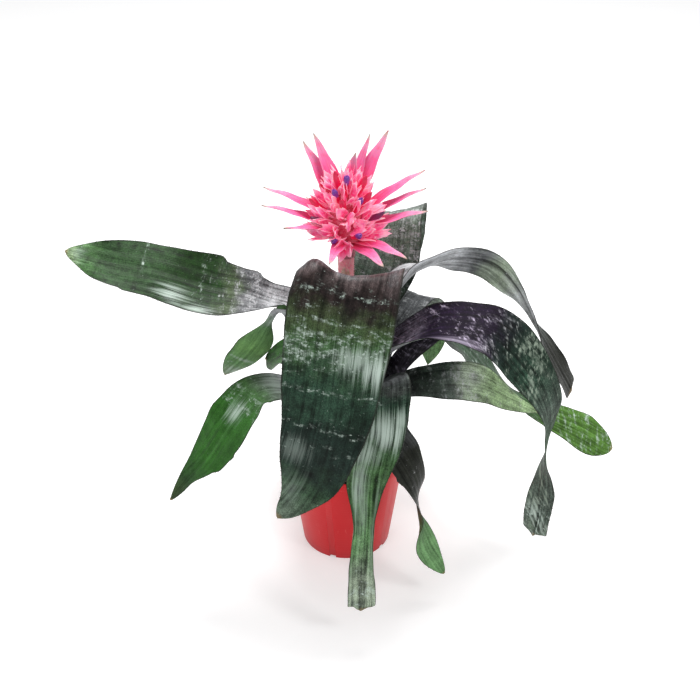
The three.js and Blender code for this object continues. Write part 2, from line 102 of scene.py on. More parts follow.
# Blades, from the innermost leaf outwards, as in the solids: x, y, z of the midrib, width, roll, channel.
# Swells are soft rises: place along, reach, place across, reach across, height. Nicks are steps in a
# margin: place along, side, depth, reach.
LEAVES = [
    dict(name="leaf_right_arch", turn=25, heading=20, sheath=TALL_SHEATH, tip=5, blade=[
        [26, 11, 244, 46, 0, 105],
        [38, 16, 274, 46, 0, 105],
        [54, 21, 300, 46, -10, 100],
        [72, 25, 316, 44, -30, 80],
        [107, 30, 325, 44, -58, 20],
        [144, 35, 315, 35, -66, 20],
        [170, 37, 288, 26, -50, 20],
        [187, 38, 261, 22, -10, 20],
        [208, 38, 225, 32, 34, 20],
        [243, 40, 161, 32, 46, 10],
    ]),
    dict(name="leaf_front_broad", turn=-100, heading=-98, sheath=TALL_SHEATH, tip=12,
         swells=[(262, 34, -0.66, 0.3, 11), (262, 34, -1.05, 0.2, -9), (470, 30, 1, 0.35, 4)], blade=[
        [-1, -29, 248, 52, 0, 105],
        [0, -38, 290, 82, 0, 65],
        [4, -55, 337, 94, 0, 50],
        [4, -82, 368, 100, 0, 36],
        [-7, -115, 330, 101, 0, -12],
        [-14, -135, 279, 92, 0, -10],
        [-23, -147, 231, 78, 0, -6],
        [-35, -152, 189, 58, 0, 0],
        [-50, -153, 162, 30, 0, 0],
        [-66, -153, 145, 10, 0, 0],
    ]),
    dict(name="leaf_back_tall", turn=78, heading=78, sheath=TALL_SHEATH, tip=70, blade=[
        [11, 32, 246, 50, 0, 95],
        [24, 44, 272, 60, 0, 65],
        [38, 60, 307, 76, 0, 40],
        [44, 85, 347, 74, -10, 25],
        [50, 120, 334, 72, -10, 25],
        [55, 160, 282, 60, 0, 20],
        [60, 185, 204, 30, 0, 20],
    ]),
    dict(name="leaf_left_long", turn=164, heading=172, sheath=TALL_SHEATH, base=54, tip=75,
         nicks=[(205, -1, -3, 14), (243, -1, -4, 30), (340, 1, 2, 30)], blade=[
        [-31, 15, 242, 44, 0, 105],
        [-43, 17, 270, 50, 0, 120],
        [-62, 20, 279, 46, 0, 120],
        [-81, 21, 284, 44, -8, 70],
        [-100, 22, 291, 54, -22, 40],
        [-138, 25, 297, 69, -30, 20],
        [-188, 30, 312, 62, -30, 10],
        [-238, 35, 320, 58, -30, 10],
        [-283, 38, 332, 40, -30, 0],
    ]),
    dict(name="leaf_right_dark", turn=-18, heading=-18, sheath=TALL_SHEATH, tip=10, ragged=True, blade=[
        [42, -14, 240, 54, 0, 105],
        [62, -22, 263, 62, 0, 92],
        [92, -35, 286, 64, 8, 60],
        [137, -50, 291, 62, 16, 30],
        [174, -60, 261, 51, 40, 20],
        [200, -65, 214, 40, 20, 20],
        [202, -66, 158, 33, -8, 20],
        [201, -66, 96, 30, -70, 10],
        [197, -66, 47, 28, -75, 0],
    ]),
    dict(name="leaf_back_low", turn=98, heading=106, sheath=MIDDLE_SHEATH, base=56, tip=60, blade=[
        [-12, 46, 220, 50, 0, 80],
        [-17, 68, 240, 56, 0, 50],
        [-21, 96, 244, 60, 0, 25],
        [-27, 140, 210, 60, 0, 10],
        [-34, 180, 132, 46, 0, 10],
        [-37, 195, 73, 20, 0, 10],
    ]),
    dict(name="leaf_front_drape", turn=-72, heading=-80, sheath=MIDDLE_SHEATH, tip=8, ragged=True, blade=[
        [29, -80, 248, 66, 0, 60],
        [28, -108, 250, 66, 0, 25],
        [27, -126, 221, 60, 0, 40],
        [18, -139, 178, 42, 0, 90],
        [17, -152, 134, 34, 10, 200],
        [15, -162, 86, 34, 10, 150],
        [15, -170, 39, 28, 0, 60],
    ]),
    dict(name="leaf_left_small", turn=197, heading=180, sheath=SHORT_SHEATH, base=54, tip=26, blade=[
        [-34, -17, 190, 32, 0, 75],
        [-42, -23, 230, 32, 0, 110],
        [-52, -28, 275, 28, 0, 130],
        [-64, -29, 300, 20, 20, 130],
        [-75, -29, 287, 15, 50, 90],
        [-88, -28, 264, 40, 60, 30],
        [-100, -28, 248, 40, 60, 20],
        [-122, -28, 226, 30, 60, 10],
    ]),
    dict(name="leaf_back_right", turn=50, heading=55, sheath=MIDDLE_SHEATH, tip=40, blade=[
        [40, 48, 220, 42, 0, 85],
        [62, 67, 248, 44, 0, 50],
        [76, 88, 253, 50, 0, 20],
        [90, 118, 216, 50, 0, 10],
        [95, 138, 168, 36, 0, 10],
        [94, 146, 127, 20, 0, 10],
    ]),
    dict(name="leaf_left_low", turn=212, heading=212, sheath=SHORT_SHEATH, tip=36,
         nicks=[(160, 1, 4, 16), (215, 1, -2, 10), (244, 1, 4, 40)], blade=[
        [-46, -40, 209, 52, 0, 60],
        [-85, -60, 228, 56, 0, 25],
        [-114, -80, 203, 66, 0, 15],
        [-139, -91, 168, 54, 0, 10],
        [-158, -97, 147, 22, 0, 10],
        [-176, -102, 125, 12, 0, 10],
    ]),
    dict(name="leaf_right_green_tip", turn=15, heading=12, sheath=SHORT_SHEATH, tip=36, blade=[
        [46, 9, 186, 44, 0, 88],
        [62, 3, 222, 42, 0, 62],
        [78, 9, 243, 45, 5, 50],
        [90, 21, 249, 44, 10, 40],
        [105, 28, 239, 48, 15, 30],
        [125, 38, 218, 50, 20, 25],
        [154, 42, 181, 48, 10, 20],
        [181, 38, 155, 42, 0, 20],
        [215, 30, 136, 44, 12, 15],
        [257, 25, 117, 48, 34, 10],
        [291, 25, 94, 40, 34, 5],
    ]),
    dict(name="leaf_back_left", turn=140, heading=145, sheath=SHORT_SHEATH, tip=34, blade=[
        [-31, 60, 175, 56, 0, 50],
        [-51, 80, 180, 56, 0, 25],
        [-70, 108, 166, 46, -25, 10],
        [-92, 130, 143, 36, -45, 10],
    ]),
    dict(name="leaf_right_low", turn=-6, heading=-4, sheath=SHORT_SHEATH, tip=60, blade=[
        [56, -10, 193, 50, 0, 60],
        [96, -12, 207, 46, 20, 30],
        [138, -12, 203, 48, 20, 15],
        [170, -10, 184, 38, 10, 10],
        [200, -8, 166, 20, 0, 5],
    ]),
    dict(name="leaf_right_twisted", turn=-46, heading=-46, sheath=SHORT_SHEATH, tip=45,
         nicks=[(105, -1, -3, 14), (128, -1, -2, 12)], blade=[
        [40, -62, 172, 52, 0, 40],
        [56, -80, 164, 48, 0, 15],
        [71, -90, 135, 38, -20, 10],
        [73, -95, 105, 32, -55, 10],
        [82, -102, 66, 31, 0, 10],
        [101, -108, 33, 22, 0, 5],
    ]),
]

# Flower head, with its core as radius and height
HEAD_BASE = 347
HEAD_CORE = [[15, 362], [19, 374], [18, 390], [12, 408], [5, 420]]
HEAD_COLLAR_RADIUS = 9.5
HEAD_TOP = 423
BRACT_THICKNESS = 0.8
BRACT_EDGE_THICKNESS = 0.4
BRACT_ROOT_DEPTH = 5

# Long bracts: x, y, z of the point, the height of the root on the core, and the widest width
LONG_BRACTS = [
    [-41, 40, 449, 392, 20],
    [-31, 43, 456, 400, 18],
    [9, 10, 450, 412, 19],
    [23, 43, 455, 402, 13],
    [41, 45, 458, 398, 21],
    [76, 25, 426, 386, 18],
    [77, 12, 413, 380, 16],
    [78, -9, 399, 372, 21],
    [57, -55, 372, 366, 18],
    [35, -71, 372, 364, 19],
    [-15, -79, 379, 366, 15],
    [-57, -52, 402, 374, 15],
    [-80, -5, 403, 376, 16],
    [-79, 16, 412, 384, 17],
    [37, 70, 383, 366, 17],
    [9, 78, 376, 364, 18],
    [-13, 78, 384, 368, 17],
    [-40, 66, 378, 365, 17],
]

# Spikelets, set in a spiral up the core, each a bud of overlapping floral bracts
SPIKELET_COUNT = 30
SPIKELET_FOOT = 363
SPIKELET_SPAN = 55
SPIKELET_BRACTS = 7
FLORAL_THICKNESS = 0.7
FLORAL_EDGE_THICKNESS = 0.3
FLORAL_HAIRS = 26
FLORAL_HAIR_LENGTH = 1.6
GOLDEN_TURN = 137.508

# Flowers: compass angle, height of the root on the core, length past the core, and how far it has come:
# open with violet petals, a dark bud, or a crimson tube
FLOWERS = [
    [-122, 404, 13, "open"], [-54, 398, 13, "open"], [-70, 374, 17, "open"], [-86, 412, 17, "open"],
    [-110, 370, 13, "open"], [-158, 380, 15, "dark"], [-18, 382, 19, "dark"], [-20, 408, 19, "tube"],
    [-34, 398, 19, "tube"], [-140, 414, 17, "tube"], [-154, 404, 11, "tube"], [-98, 398, 15, "tube"],
    [-170, 390, 19, "tube"], [60, 390, 17, "open"], [150, 396, 17, "tube"],
]

# The stalk's own bracts: compass angle, height of the foot, length
STALK_BRACTS = [[-150, 226, 58], [-20, 262, 56], [-95, 290, 52]]


def tone(red, green, blue):
    """A screen colour, each part 0 to 255, as the shaders take it"""
    parts = [part / 255 for part in (red, green, blue)]
    return (*[p / 12.92 if p <= 0.04045 else ((p + 0.055) / 1.055) ** 2.4 for p in parts], 1)


TONES = {
    "teal black": tone(26, 40, 34),
    "deep green": tone(38, 60, 47),
    "dark green": tone(44, 66, 46),
    "pine green": tone(26, 50, 20),
    "forest green": tone(43, 67, 39),
    "bottle green": tone(46, 92, 34),
    "moss green": tone(56, 84, 50),
    "leaf green": tone(68, 100, 60),
    "lime green": tone(78, 116, 42),
    "sage": tone(98, 136, 90),
    "bright sage": tone(114, 156, 94),
    "olive": tone(58, 72, 46),
    "meadow": tone(72, 106, 46),
    "slate green": tone(70, 81, 73),
    "grey green": tone(94, 108, 94),
    "pale green": tone(124, 146, 108),
    "silver green": tone(126, 138, 120),
    "pale ash": tone(186, 188, 192),
    "ash": tone(146, 148, 150),
    "slate": tone(90, 92, 94),
    "dark slate": tone(52, 57, 54),
    "umber": tone(38, 40, 35),
    "warm grey": tone(76, 66, 66),
    "brown black": tone(36, 29, 28),
    "purple black": tone(22, 13, 30),
    "plum grey": tone(86, 80, 92),
    "straw": tone(150, 128, 92),
}


# Small helpers


class Draws:
    """Seeded numbers between 0 and 1, drawn by the same rule as in the solids"""

    def __init__(self, seed):
        self.state = seed

    def __call__(self, low=0.0, high=1.0):
        self.state = self.state * 16807 % 2147483647
        return low + (high - low) * self.state / 2147483647


def smoothstep(value, low, high):
    share = np.clip((value - low) / (high - low), 0, 1)
    return share * share * (3 - 2 * share)


def unit(vectors):
    return vectors / np.linalg.norm(vectors, axis=-1, keepdims=True)


def compass(turn, out=1.0, height=0.0):
    return np.array([out * math.cos(math.radians(turn)), out * math.sin(math.radians(turn)), height])


def new_object(name, data):
    thing = bpy.data.objects.new(name, data)
    bpy.context.scene.collection.objects.link(thing)
    return thing


def box_corners(length, width, height):
    ends = (-1, 1)
    return [(x * length / 2, y * width / 2, z * height / 2) for x in ends for y in ends for z in ends]


# Curves and ribbons


def cubic(start, end, slope_start, slope_end, part):
    rise = end - start
    return (start + slope_start * part + (3 * rise - 2 * slope_start - slope_end) * part ** 2
            + (slope_start + slope_end - 2 * rise) * part ** 3)


def curve_through(rows, part_of_curve):
    """The point of the smooth curve through the rows, and its eased values, at a share of the curve"""
    last = len(rows) - 1
    i = min(int(part_of_curve * last), last - 1)
    part = part_of_curve * last - i
    before = rows[i - 1] if i > 0 else 2 * rows[0] - rows[1]
    after = rows[i + 2] if i + 2 <= last else 2 * rows[last] - rows[last - 1]
    here, there = rows[i], rows[i + 1]
    values = cubic(here, there, (there - before) / 2, (after - here) / 2, part)[3:]
    p0, p1, p2, p3 = (row[:3] for row in (before, here, there, after))
    d0, d1, d2 = (np.linalg.norm(b - a) ** 0.5 for a, b in ((p0, p1), (p1, p2), (p2, p3)))
    slope_here = ((p1 - p0) / d0 - (p2 - p0) / (d0 + d1) + (p2 - p1) / d1) * d1
    slope_there = ((p2 - p1) / d1 - (p3 - p1) / (d1 + d2) + (p3 - p2) / d2) * d1
    return np.concatenate([cubic(p1, p2, slope_here, slope_there, part), values])


def fine_curve(rows):
    """Closely spaced points of the curve, with their eased values, and how far along it each one is"""
    rows = np.array(rows, float)
    samples = np.array([curve_through(rows, k / CURVE_SAMPLES) for k in range(CURVE_SAMPLES + 1)])
    gaps = np.linalg.norm(np.diff(samples[:, :3], axis=0), axis=1)
    return samples, np.concatenate([[0], np.cumsum(gaps)])


class Ribbon:
    """A curved strip: a grid of points, its outward normals, how far along each row is, and q, which
    runs from -1 to 1 across it. Rows give x, y, z, width, roll, channel angle and heading."""

    def __init__(self, rows, step, cells, tip, tip_width=1.4, fewest=6, lift=None, trim=None, ragged=None):
        samples, lengths = fine_curve(rows)
        self.length = lengths[-1]
        self.along = np.linspace(0, self.length, max(fewest, round(self.length / step)) + 1)
        self.q = np.linspace(-1, 1, cells + 1)

        def at_rows(columns):
            return np.stack([np.interp(self.along, lengths, column) for column in columns.T], 1)

        place = at_rows(samples[:, :3])[:, None, :]
        self.tangent = unit(at_rows(np.gradient(samples[:, :3], lengths, axis=0)))
        width, roll, channel, heading = at_rows(samples[:, 3:]).T
        across, up = self.directions(np.radians(heading), np.radians(roll))
        share = np.clip((self.length - self.along) / tip, 0, 1)
        self.width = np.maximum(width * (1 - (1 - share) ** 2) ** TIP_ROUNDNESS, tip_width)
        channel = np.radians(channel)
        bend = np.where(np.abs(channel) < LEAST_BEND, LEAST_BEND, channel)
        radius = (self.width / bend)[:, None]
        angle = self.q[None, :] * bend[:, None] / 2
        rise = radius * (1 - np.cos(angle))
        if lift is not None:
            rise = rise + lift(self.along[:, None], self.q[None, :])
        self.points = place + across * (radius * np.sin(angle))[..., None] + up * rise[..., None]
        self.normals = up * np.cos(angle)[..., None] - across * np.sin(angle)[..., None]
        if trim is not None:
            self.points += across * trim(self.along[:, None], self.q[None, :])[..., None]
        if ragged is not None:
            self.tear(ragged)

    def directions(self, heading, roll):
        """Across and up at each row: level at its heading, then rolled about the curve"""
        level = np.stack([-np.sin(heading), np.cos(heading), np.zeros_like(heading)], 1)
        side = unit(level - self.tangent * np.sum(level * self.tangent, 1, keepdims=True))
        face = np.cross(self.tangent, side)
        cosine, sine = np.cos(roll)[:, None], np.sin(roll)[:, None]
        across = side * cosine + face * sine
        up = face * cosine - side * sine
        return across[:, None, :], up[:, None, :]

    def tear(self, amounts):
        """Shortens the end by uneven amounts across the strip"""
        torn = np.interp(self.q, np.linspace(-1, 1, len(amounts)), amounts)
        near_end = smoothstep(self.along, self.length - 2 * RAGGED_END, self.length)
        self.points -= self.tangent[:, None, :] * (near_end[:, None] * torn[None, :])[..., None]

    def carry(self, matrix):
        """Moves the ribbon by a 4 by 4 matrix"""
        turn, shift = np.array(matrix)[:3, :3], np.array(matrix)[:3, 3]
        self.points = self.points @ turn.T + shift
        self.normals = self.normals @ turn.T
        self.tangent = self.tangent @ turn.T
        return self


# Meshes

BOX_FACES = [(0, 1, 3, 2), (4, 6, 7, 5), (0, 4, 5, 1), (2, 3, 7, 6), (0, 2, 6, 4), (1, 5, 7, 3)]


class Pile:
    """Gathers closed shells into one mesh with two maps: flat, in centimetres, and share, 0 to 1 each way"""

    def __init__(self):
        self.points = []
        self.faces = []
        self.slots = []
        self.flat = []
        self.share = []

    def add(self, points, faces, slots, flat, share):
        start = len(self.points)
        self.points.extend(map(tuple, points))
        self.faces.extend(tuple(start + corner for corner in face) for face in faces)
        self.slots.extend(slots if hasattr(slots, "__len__") else [slots] * len(faces))
        self.flat.extend(map(tuple, flat))
        self.share.extend(map(tuple, share))

    def add_plain(self, points, faces, share=(0, 0)):
        """A small shell that takes one place on both maps"""
        self.add(points, faces, 0, [(0, 0)] * len(points), [share] * len(points))

    def add_ribbon(self, ribbon, thickness, edge_thickness, slots=(0, 0)):
        """Both faces of a strip and its rim, which goes with the first face"""
        rows, columns = ribbon.points.shape[:2]
        half = (edge_thickness + (thickness - edge_thickness) * (1 - ribbon.q ** 4)) / 2
        offset = ribbon.normals * half[None, :, None]
        over, under = ribbon.points + offset, ribbon.points - offset
        points = np.concatenate([over.reshape(-1, 3), under.reshape(-1, 3)])
        below = rows * columns
        faces = []
        for i in range(rows - 1):
            for j in range(columns - 1):
                a, b = i * columns + j, (i + 1) * columns + j
                faces.append((a, b, b + 1, a + 1))
                faces.append((below + a, below + a + 1, below + b + 1, below + b))
        face_slots = list(slots) * (len(faces) // 2)
        rim = [i * columns for i in range(rows - 1)]
        rim += [(rows - 1) * columns + j for j in range(columns - 1)]
        rim += [i * columns + columns - 1 for i in range(rows - 1, 0, -1)]
        rim += list(range(columns - 1, 0, -1))
        faces += [(there, here, below + here, below + there) for here, there in zip(rim, rim[1:] + rim[:1])]
        face_slots += [slots[0]] * len(rim)
        along = np.repeat(ribbon.along[:, None], columns, 1)
        across = ribbon.q[None, :] * ribbon.width[:, None] / 2
        side = (np.repeat(ribbon.q[None, :], rows, 0) + 1) / 2
        flat = np.stack([across, along], -1).reshape(-1, 2) / 10
        share = np.stack([side, along / ribbon.length], -1).reshape(-1, 2)
        self.add(points, faces, face_slots, np.tile(flat, (2, 1)), np.tile(share, (2, 1)))

    def add_teeth(self, ribbon, first, last, pitch, length):
        """Fine forward-pointing teeth along both margins"""
        for column, inner in ((0, 1), (-1, -2)):
            outward = unit(ribbon.points[:, column] - ribbon.points[:, inner])
            for place in np.arange(first, last, pitch):
                i = int(np.argmin(np.abs(ribbon.along - place)))
                root, out, forward = ribbon.points[i, column], outward[i], ribbon.tangent[i]
                normal = ribbon.normals[i, column]
                foot, reach = root - out * 0.3, forward * length
                points = [foot - reach * 0.7, foot + normal * 0.22, foot + reach * 0.7, foot - normal * 0.22,
                          root + out * length + reach * 0.9]
                faces = [(1, 0, 4), (2, 1, 4), (3, 2, 4), (0, 3, 4), (0, 1, 2, 3)]
                if column == 0:
                    faces = [face[::-1] for face in faces]
                edge = (0 if column == 0 else 1, ribbon.along[i] / ribbon.length)
                across = ribbon.width[i] / 20 * (-1 if column == 0 else 1)
                self.add(points, faces, 0, [(across, ribbon.along[i] / 10)] * 5, [edge] * 5)

    def add_turned(self, profile, sides, slot=0, matrix=None, lobes=0, lobe_depth=0.0):
        """A solid of revolution about z from (radius, height) pairs, outside first, ends on the axis"""
        rings = profile[1:-1]
        turns = np.linspace(0, 2 * math.pi, sides, endpoint=False)
        swell = 1 + lobe_depth * np.cos(lobes * turns)
        distance = [0]
        for here, there in zip(profile, profile[1:]):
            distance.append(distance[-1] + math.dist(here, there))
        total = distance[-1]
        points = [(0, 0, profile[0][1])]
        flat = [(0, 0)]
        share = [(0, 0)]
        around = list(zip(turns, swell))
        for (radius, height), past in zip(rings, distance[1:]):
            points += [(radius * s * math.cos(t), radius * s * math.sin(t), height) for t, s in around]
            flat += [(radius / 10 * t, past / 10) for t in turns]
            share += [(t / (2 * math.pi), past / total) for t in turns]
        points.append((0, 0, profile[-1][1]))
        flat.append((0, total / 10))
        share.append((0, 1))
        faces = [(0, 1 + (j + 1) % sides, 1 + j) for j in range(sides)]
        for k in range(len(rings) - 1):
            a, b = 1 + k * sides, 1 + (k + 1) * sides
            faces += [(a + j, a + (j + 1) % sides, b + (j + 1) % sides, b + j) for j in range(sides)]
        top, last = len(points) - 1, 1 + (len(rings) - 1) * sides
        faces += [(top, last + j, last + (j + 1) % sides) for j in range(sides)]
        if matrix is not None:
            points = [tuple(matrix @ Vector(point)) for point in points]
        self.add(points, faces, slot, flat, share)

    def piece(self, name, materials, soft_angle=50):
        """The finished object, in metres, with its maps and materials"""
        mesh = bpy.data.meshes.new(name)
        mesh.from_pydata([tuple(MM * c for c in point) for point in self.points], [], self.faces)
        corners = np.zeros(len(mesh.loops), np.int32)
        mesh.loops.foreach_get("vertex_index", corners)
        for label, values in (("flat", self.flat), ("share", self.share)):
            layer = mesh.uv_layers.new(name=label)
            layer.uv.foreach_set("vector", np.array(values, np.float32)[corners].ravel())
        for material in materials:
            mesh.materials.append(material)
        mesh.polygons.foreach_set("material_index", np.array(self.slots, np.int32))
        mesh.shade_smooth()
        mesh.set_sharp_from_angle(angle=math.radians(soft_angle))
        mesh.validate()
        mesh.update()
        return new_object(name, mesh)


def settle(thing, slot, *nodes):
    """Ties a finished piece to the frame, in place of the solids it stands for"""
    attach(thing, "root")
    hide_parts(*nodes)


# Shader nodes

# Surfaces: how much plain and fleshy ones mirror, how light enters flesh, the painted glow of the bracts,
# the stalk and the flowers (emission in their own colour that lifts their shade), and how rough a leaf is
PLAIN_MIRROR = 0.5
FLESH_MIRROR = 0.3
FLESH_WEIGHT = 0.15
FLESH_DEPTH = 0.002
# Painted glow: emission in their own colour that lifts the shade of the bracts, stalk and flowers
BRACT_PAINTED_GLOW = 0.14
FLORAL_PAINTED_GLOW = 0.2
LEAF_ROUGHNESS = 0.3
UNDERSIDE_ROUGHNESS = 0.4


class Value:
    """What a node gives out. Sums, products and the like of values are nodes as well."""

    def __init__(self, nodes, socket):
        self.nodes = nodes
        self.socket = socket

    def __add__(self, other):
        return self.nodes.math("ADD", self, other)

    def __radd__(self, other):
        return self.nodes.math("ADD", other, self)

    def __sub__(self, other):
        return self.nodes.math("SUBTRACT", self, other)

    def __rsub__(self, other):
        return self.nodes.math("SUBTRACT", other, self)

    def __mul__(self, other):
        return self.nodes.math("MULTIPLY", self, other)

    def __truediv__(self, other):
        return self.nodes.math("DIVIDE", self, other)


class Nodes:
    """Adds nodes to one tree. An input that is given as a value is linked, and a plain one is set."""

    def __init__(self, tree):
        self.tree = tree

    def put(self, socket, value):
        if isinstance(value, Value):
            self.tree.links.new(value.socket, socket)
        elif value is not None:
            socket.default_value = value

    def add(self, kind, inputs=None, **settings):
        """The outputs of a new node"""
        node = self.tree.nodes.new("ShaderNode" + kind)
        for name, value in settings.items():
            setattr(node, name, value)
        for key, value in (inputs or {}).items():
            self.put(node.inputs[key], value)
        return [Value(self, socket) for socket in node.outputs]

    def math(self, operation, first, second=None, clamp=False):
        return self.add("Math", {0: first, 1: second}, operation=operation, use_clamp=clamp)[0]

    def mix(self, share, first, second):
        return self.add("Mix", {"Factor": share, 6: first, 7: second}, data_type="RGBA")[2]

    def span(self, value, low, high, to_low=0.0, to_high=1.0):
        """Eases a value from one span to another"""
        inputs = {"Value": value, "From Min": low, "From Max": high, "To Min": to_low, "To Max": to_high}
        return self.add("MapRange", inputs, interpolation_type="SMOOTHSTEP")[0]

    def ramp(self, value, stops):
        """A colour that follows a value, from (place, colour) pairs"""
        colour = self.add("ValToRGB", {"Fac": value})[0]
        elements = colour.socket.node.color_ramp.elements
        while len(elements) < len(stops):
            elements.new(0.5)
        for element, (place, shade) in zip(elements, stops):
            element.position = place
            element.color = shade
        return colour

    def tints(self, value, *rows):
        """A colour that follows a value, from rows of a place and a screen colour"""
        return self.ramp(value, [(place, tone(*parts)) for place, *parts in rows])

    def level(self, value, stops):
        """A smooth grey that follows a value, from (place, level) pairs"""
        return self.ramp(value, [(place, (level, level, level, 1)) for place, level in stops])

    def scaled(self, colour, factor):
        return self.add("VectorMath", {0: colour, "Scale": factor}, operation="SCALE")[0]

    def stretched(self, place, scale):
        return self.add("VectorMath", {0: place, 1: scale}, operation="MULTIPLY")[0]

    def cloud(self, place, scale, detail=2.0, rough=0.5):
        """Noise around a half, at so many lumps a unit of place"""
        inputs = {"Vector": place, "Scale": scale, "Detail": detail, "Roughness": rough}
        return self.add("TexNoise", inputs, noise_dimensions="3D")[0]

    def ridges(self, height, strength, depth):
        return self.add("Bump", {"Height": height, "Strength": strength, "Distance": depth})[0]

    def group(self, tree, **inputs):
        """The outputs of a shared group, by name"""
        inputs = {name.replace("_", " "): value for name, value in inputs.items()}
        return {value.socket.name: value for value in self.add("Group", inputs, node_tree=tree)}


def new_group(name, inputs, outputs):
    """An empty shader group with named sockets: its tree, its helper, and its own inputs and outputs"""
    tree = bpy.data.node_groups.new(name, "ShaderNodeTree")
    for label, default in inputs.items():
        kind = "NodeSocketVector" if isinstance(default, tuple) else "NodeSocketFloat"
        socket = tree.interface.new_socket(label, in_out="INPUT", socket_type=kind)
        socket.default_value = default
    for label in outputs:
        tree.interface.new_socket(label, in_out="OUTPUT", socket_type="NodeSocketFloat")
    n = Nodes(tree)
    given = {socket.name: Value(n, socket) for socket in tree.nodes.new("NodeGroupInput").outputs}
    return tree, n, given, tree.nodes.new("NodeGroupOutput").inputs


def silver_scurf_group():
    """Pale specks that gather in broken rows. Place is in centimetres: across, along and a seed."""
    sockets = {"Place": (0, 0, 0), "Shape": (0.6, 1.7, 1), "Speck Shape": (1, 1, 1), "Pitch": 1.5,
               "Strength": 0.5}
    tree, n, given, result = new_group("silver scurf", sockets, ["Mask", "Haze"])
    place, strength = given["Place"], given["Strength"]
    shaped = n.stretched(place, given["Shape"])
    cluster = n.cloud(shaped, 1.0, 3, 0.6)
    grain = n.cloud(shaped, 3.1, 3, 0.65)
    bend = (n.cloud(place, 0.4, 2) - 0.5) * 1.4
    _, along, _ = n.add("SeparateXYZ", {0: place})
    rows = n.math("SINE", (along + bend) / given["Pitch"] * (2 * math.pi))
    level = cluster * 0.6 + grain * 0.4 + rows * 0.04 + (strength - 0.5) * 0.24
    amount = n.span(level, 0.46, 0.68) * n.span(strength, 0.0, 0.4)
    speck = n.cloud(n.stretched(place, given["Speck Shape"]), 4.2, 3, 0.7)
    patchy = n.span(n.cloud(place, 2.1, 2), 0.42, 0.6, 0.25, 1.0)
    n.put(result["Mask"], n.span(speck + amount * 0.21, 0.66, 0.8) * patchy)
    n.put(result["Haze"], amount * amount)
    return tree


def leaf_grain_group():
    """The fine lengthwise veins and the pebbled skin of a leaf"""
    tree, n, given, result = new_group("leaf grain", {"Place": (0, 0, 0)}, ["Height", "Streak", "Mottle"])
    place = given["Place"]
    veins = n.cloud(n.stretched(place, (14, 0.22, 1)), 1.0, 3, 0.6)
    pebble = n.cloud(place, 22.0, 2)
    n.put(result["Height"], veins * 0.7 + pebble * 0.3)
    n.put(result["Streak"], n.cloud(n.stretched(place, (3.2, 0.12, 1)), 1.0, 3, 0.6))
    n.put(result["Mottle"], n.cloud(n.stretched(place, (1.4, 0.8, 1)), 7.0, 3, 0.75))
    return tree


def margin_group():
    """How near a point is to either margin of a strip, from its share map"""
    tree, n, given, result = new_group("margin", {"Share": 0.5, "Width": 0.03}, ["Mask"])
    off_middle = n.math("ABSOLUTE", given["Share"] - 0.5) * 2.0
    n.put(result["Mask"], n.span(off_middle, 1.0 - given["Width"], 1.0))
    return tree


def soft_spot_group():
    """A soft spot on the share map, level or at a slope, streaked along the strip where it fades"""
    sockets = {"Side": 0.5, "Along": 0.5, "Centre Side": 0.5, "Centre Along": 0.5, "Half Width": 0.2,
               "Half Length": 0.1, "Slope": 0.0, "Streak": 0.5}
    tree, n, given, result = new_group("soft spot", sockets, ["Mask"])
    off_side = given["Side"] - given["Centre Side"]
    across = off_side / given["Half Width"]
    along = (given["Along"] - given["Centre Along"] - off_side * given["Slope"]) / given["Half Length"]
    near = n.span(n.math("SQRT", across * across + along * along), 1.4, 0.0)
    broken = near + (given["Streak"] - 0.5) * 7.0
    n.put(result["Mask"], near * n.span(broken, 0.1, 1.3))
    return tree


def wool_group():
    """A coat of short pale hairs, as a mask and a height, from a place in centimetres"""
    tree, n, given, result = new_group("wool", {"Place": (0, 0, 0), "Cover": 0.5}, ["Mask", "Height"])
    hairs = n.cloud(n.stretched(given["Place"], (30, 7, 1)), 1.0, 4, 0.75)
    tufts = n.cloud(given["Place"], 3.0, 2)
    n.put(result["Mask"], n.span(hairs + (tufts - 0.5) * 0.5 + given["Cover"] * 0.3, 0.55, 0.85))
    n.put(result["Height"], hairs)
    return tree


SILVER_SCURF = silver_scurf_group()
LEAF_GRAIN = leaf_grain_group()
MARGIN = margin_group()
SOFT_SPOT = soft_spot_group()
WOOL = wool_group()


class Skin(Nodes):
    """A new material, and the helpers that add its nodes"""

    def __init__(self, name):
        self.material = bpy.data.materials.new(name)
        self.material.use_nodes = True
        super().__init__(self.material.node_tree)
        self.surface = self.tree.nodes["Principled BSDF"].inputs

    def strip_place(self, seed):
        """The flat map with a seed as its depth, and the two parts of the share map"""
        flat_across, flat_along, _ = self.add("SeparateXYZ", {0: self.add("UVMap", uv_map="flat")[0]})
        place = self.add("CombineXYZ", {"X": flat_across, "Y": flat_along, "Z": seed})[0]
        side, along, _ = self.add("SeparateXYZ", {0: self.add("UVMap", uv_map="share")[0]})
        return place, side, along

    def position(self):
        return self.add("NewGeometry")[0]

    def edge(self, side, width, weight):
        return self.group(MARGIN, Share=side, Width=width)["Mask"] * weight

    def finish(self, colour, rough, normal, mirror=PLAIN_MIRROR, painted_glow=0.0, flesh=0.0):
        """The material, with its surface set: its mirroring, its painted glow, which lifts its shade, and how
        much light enters it
        """
        self.put(self.surface["Base Color"], colour)
        self.put(self.surface["Roughness"], rough)
        self.put(self.surface["Normal"], normal)
        self.put(self.surface["Specular IOR Level"], mirror)
        # Painted glow: emission in the surface's own colour, which brightens its shaded parts
        if painted_glow:
            self.put(self.surface["Emission Color"], colour)
            self.put(self.surface["Emission Strength"], painted_glow)
        if flesh:
            self.put(self.surface["Subsurface Weight"], flesh)
            self.put(self.surface["Subsurface Scale"], FLESH_DEPTH)
        return self.material
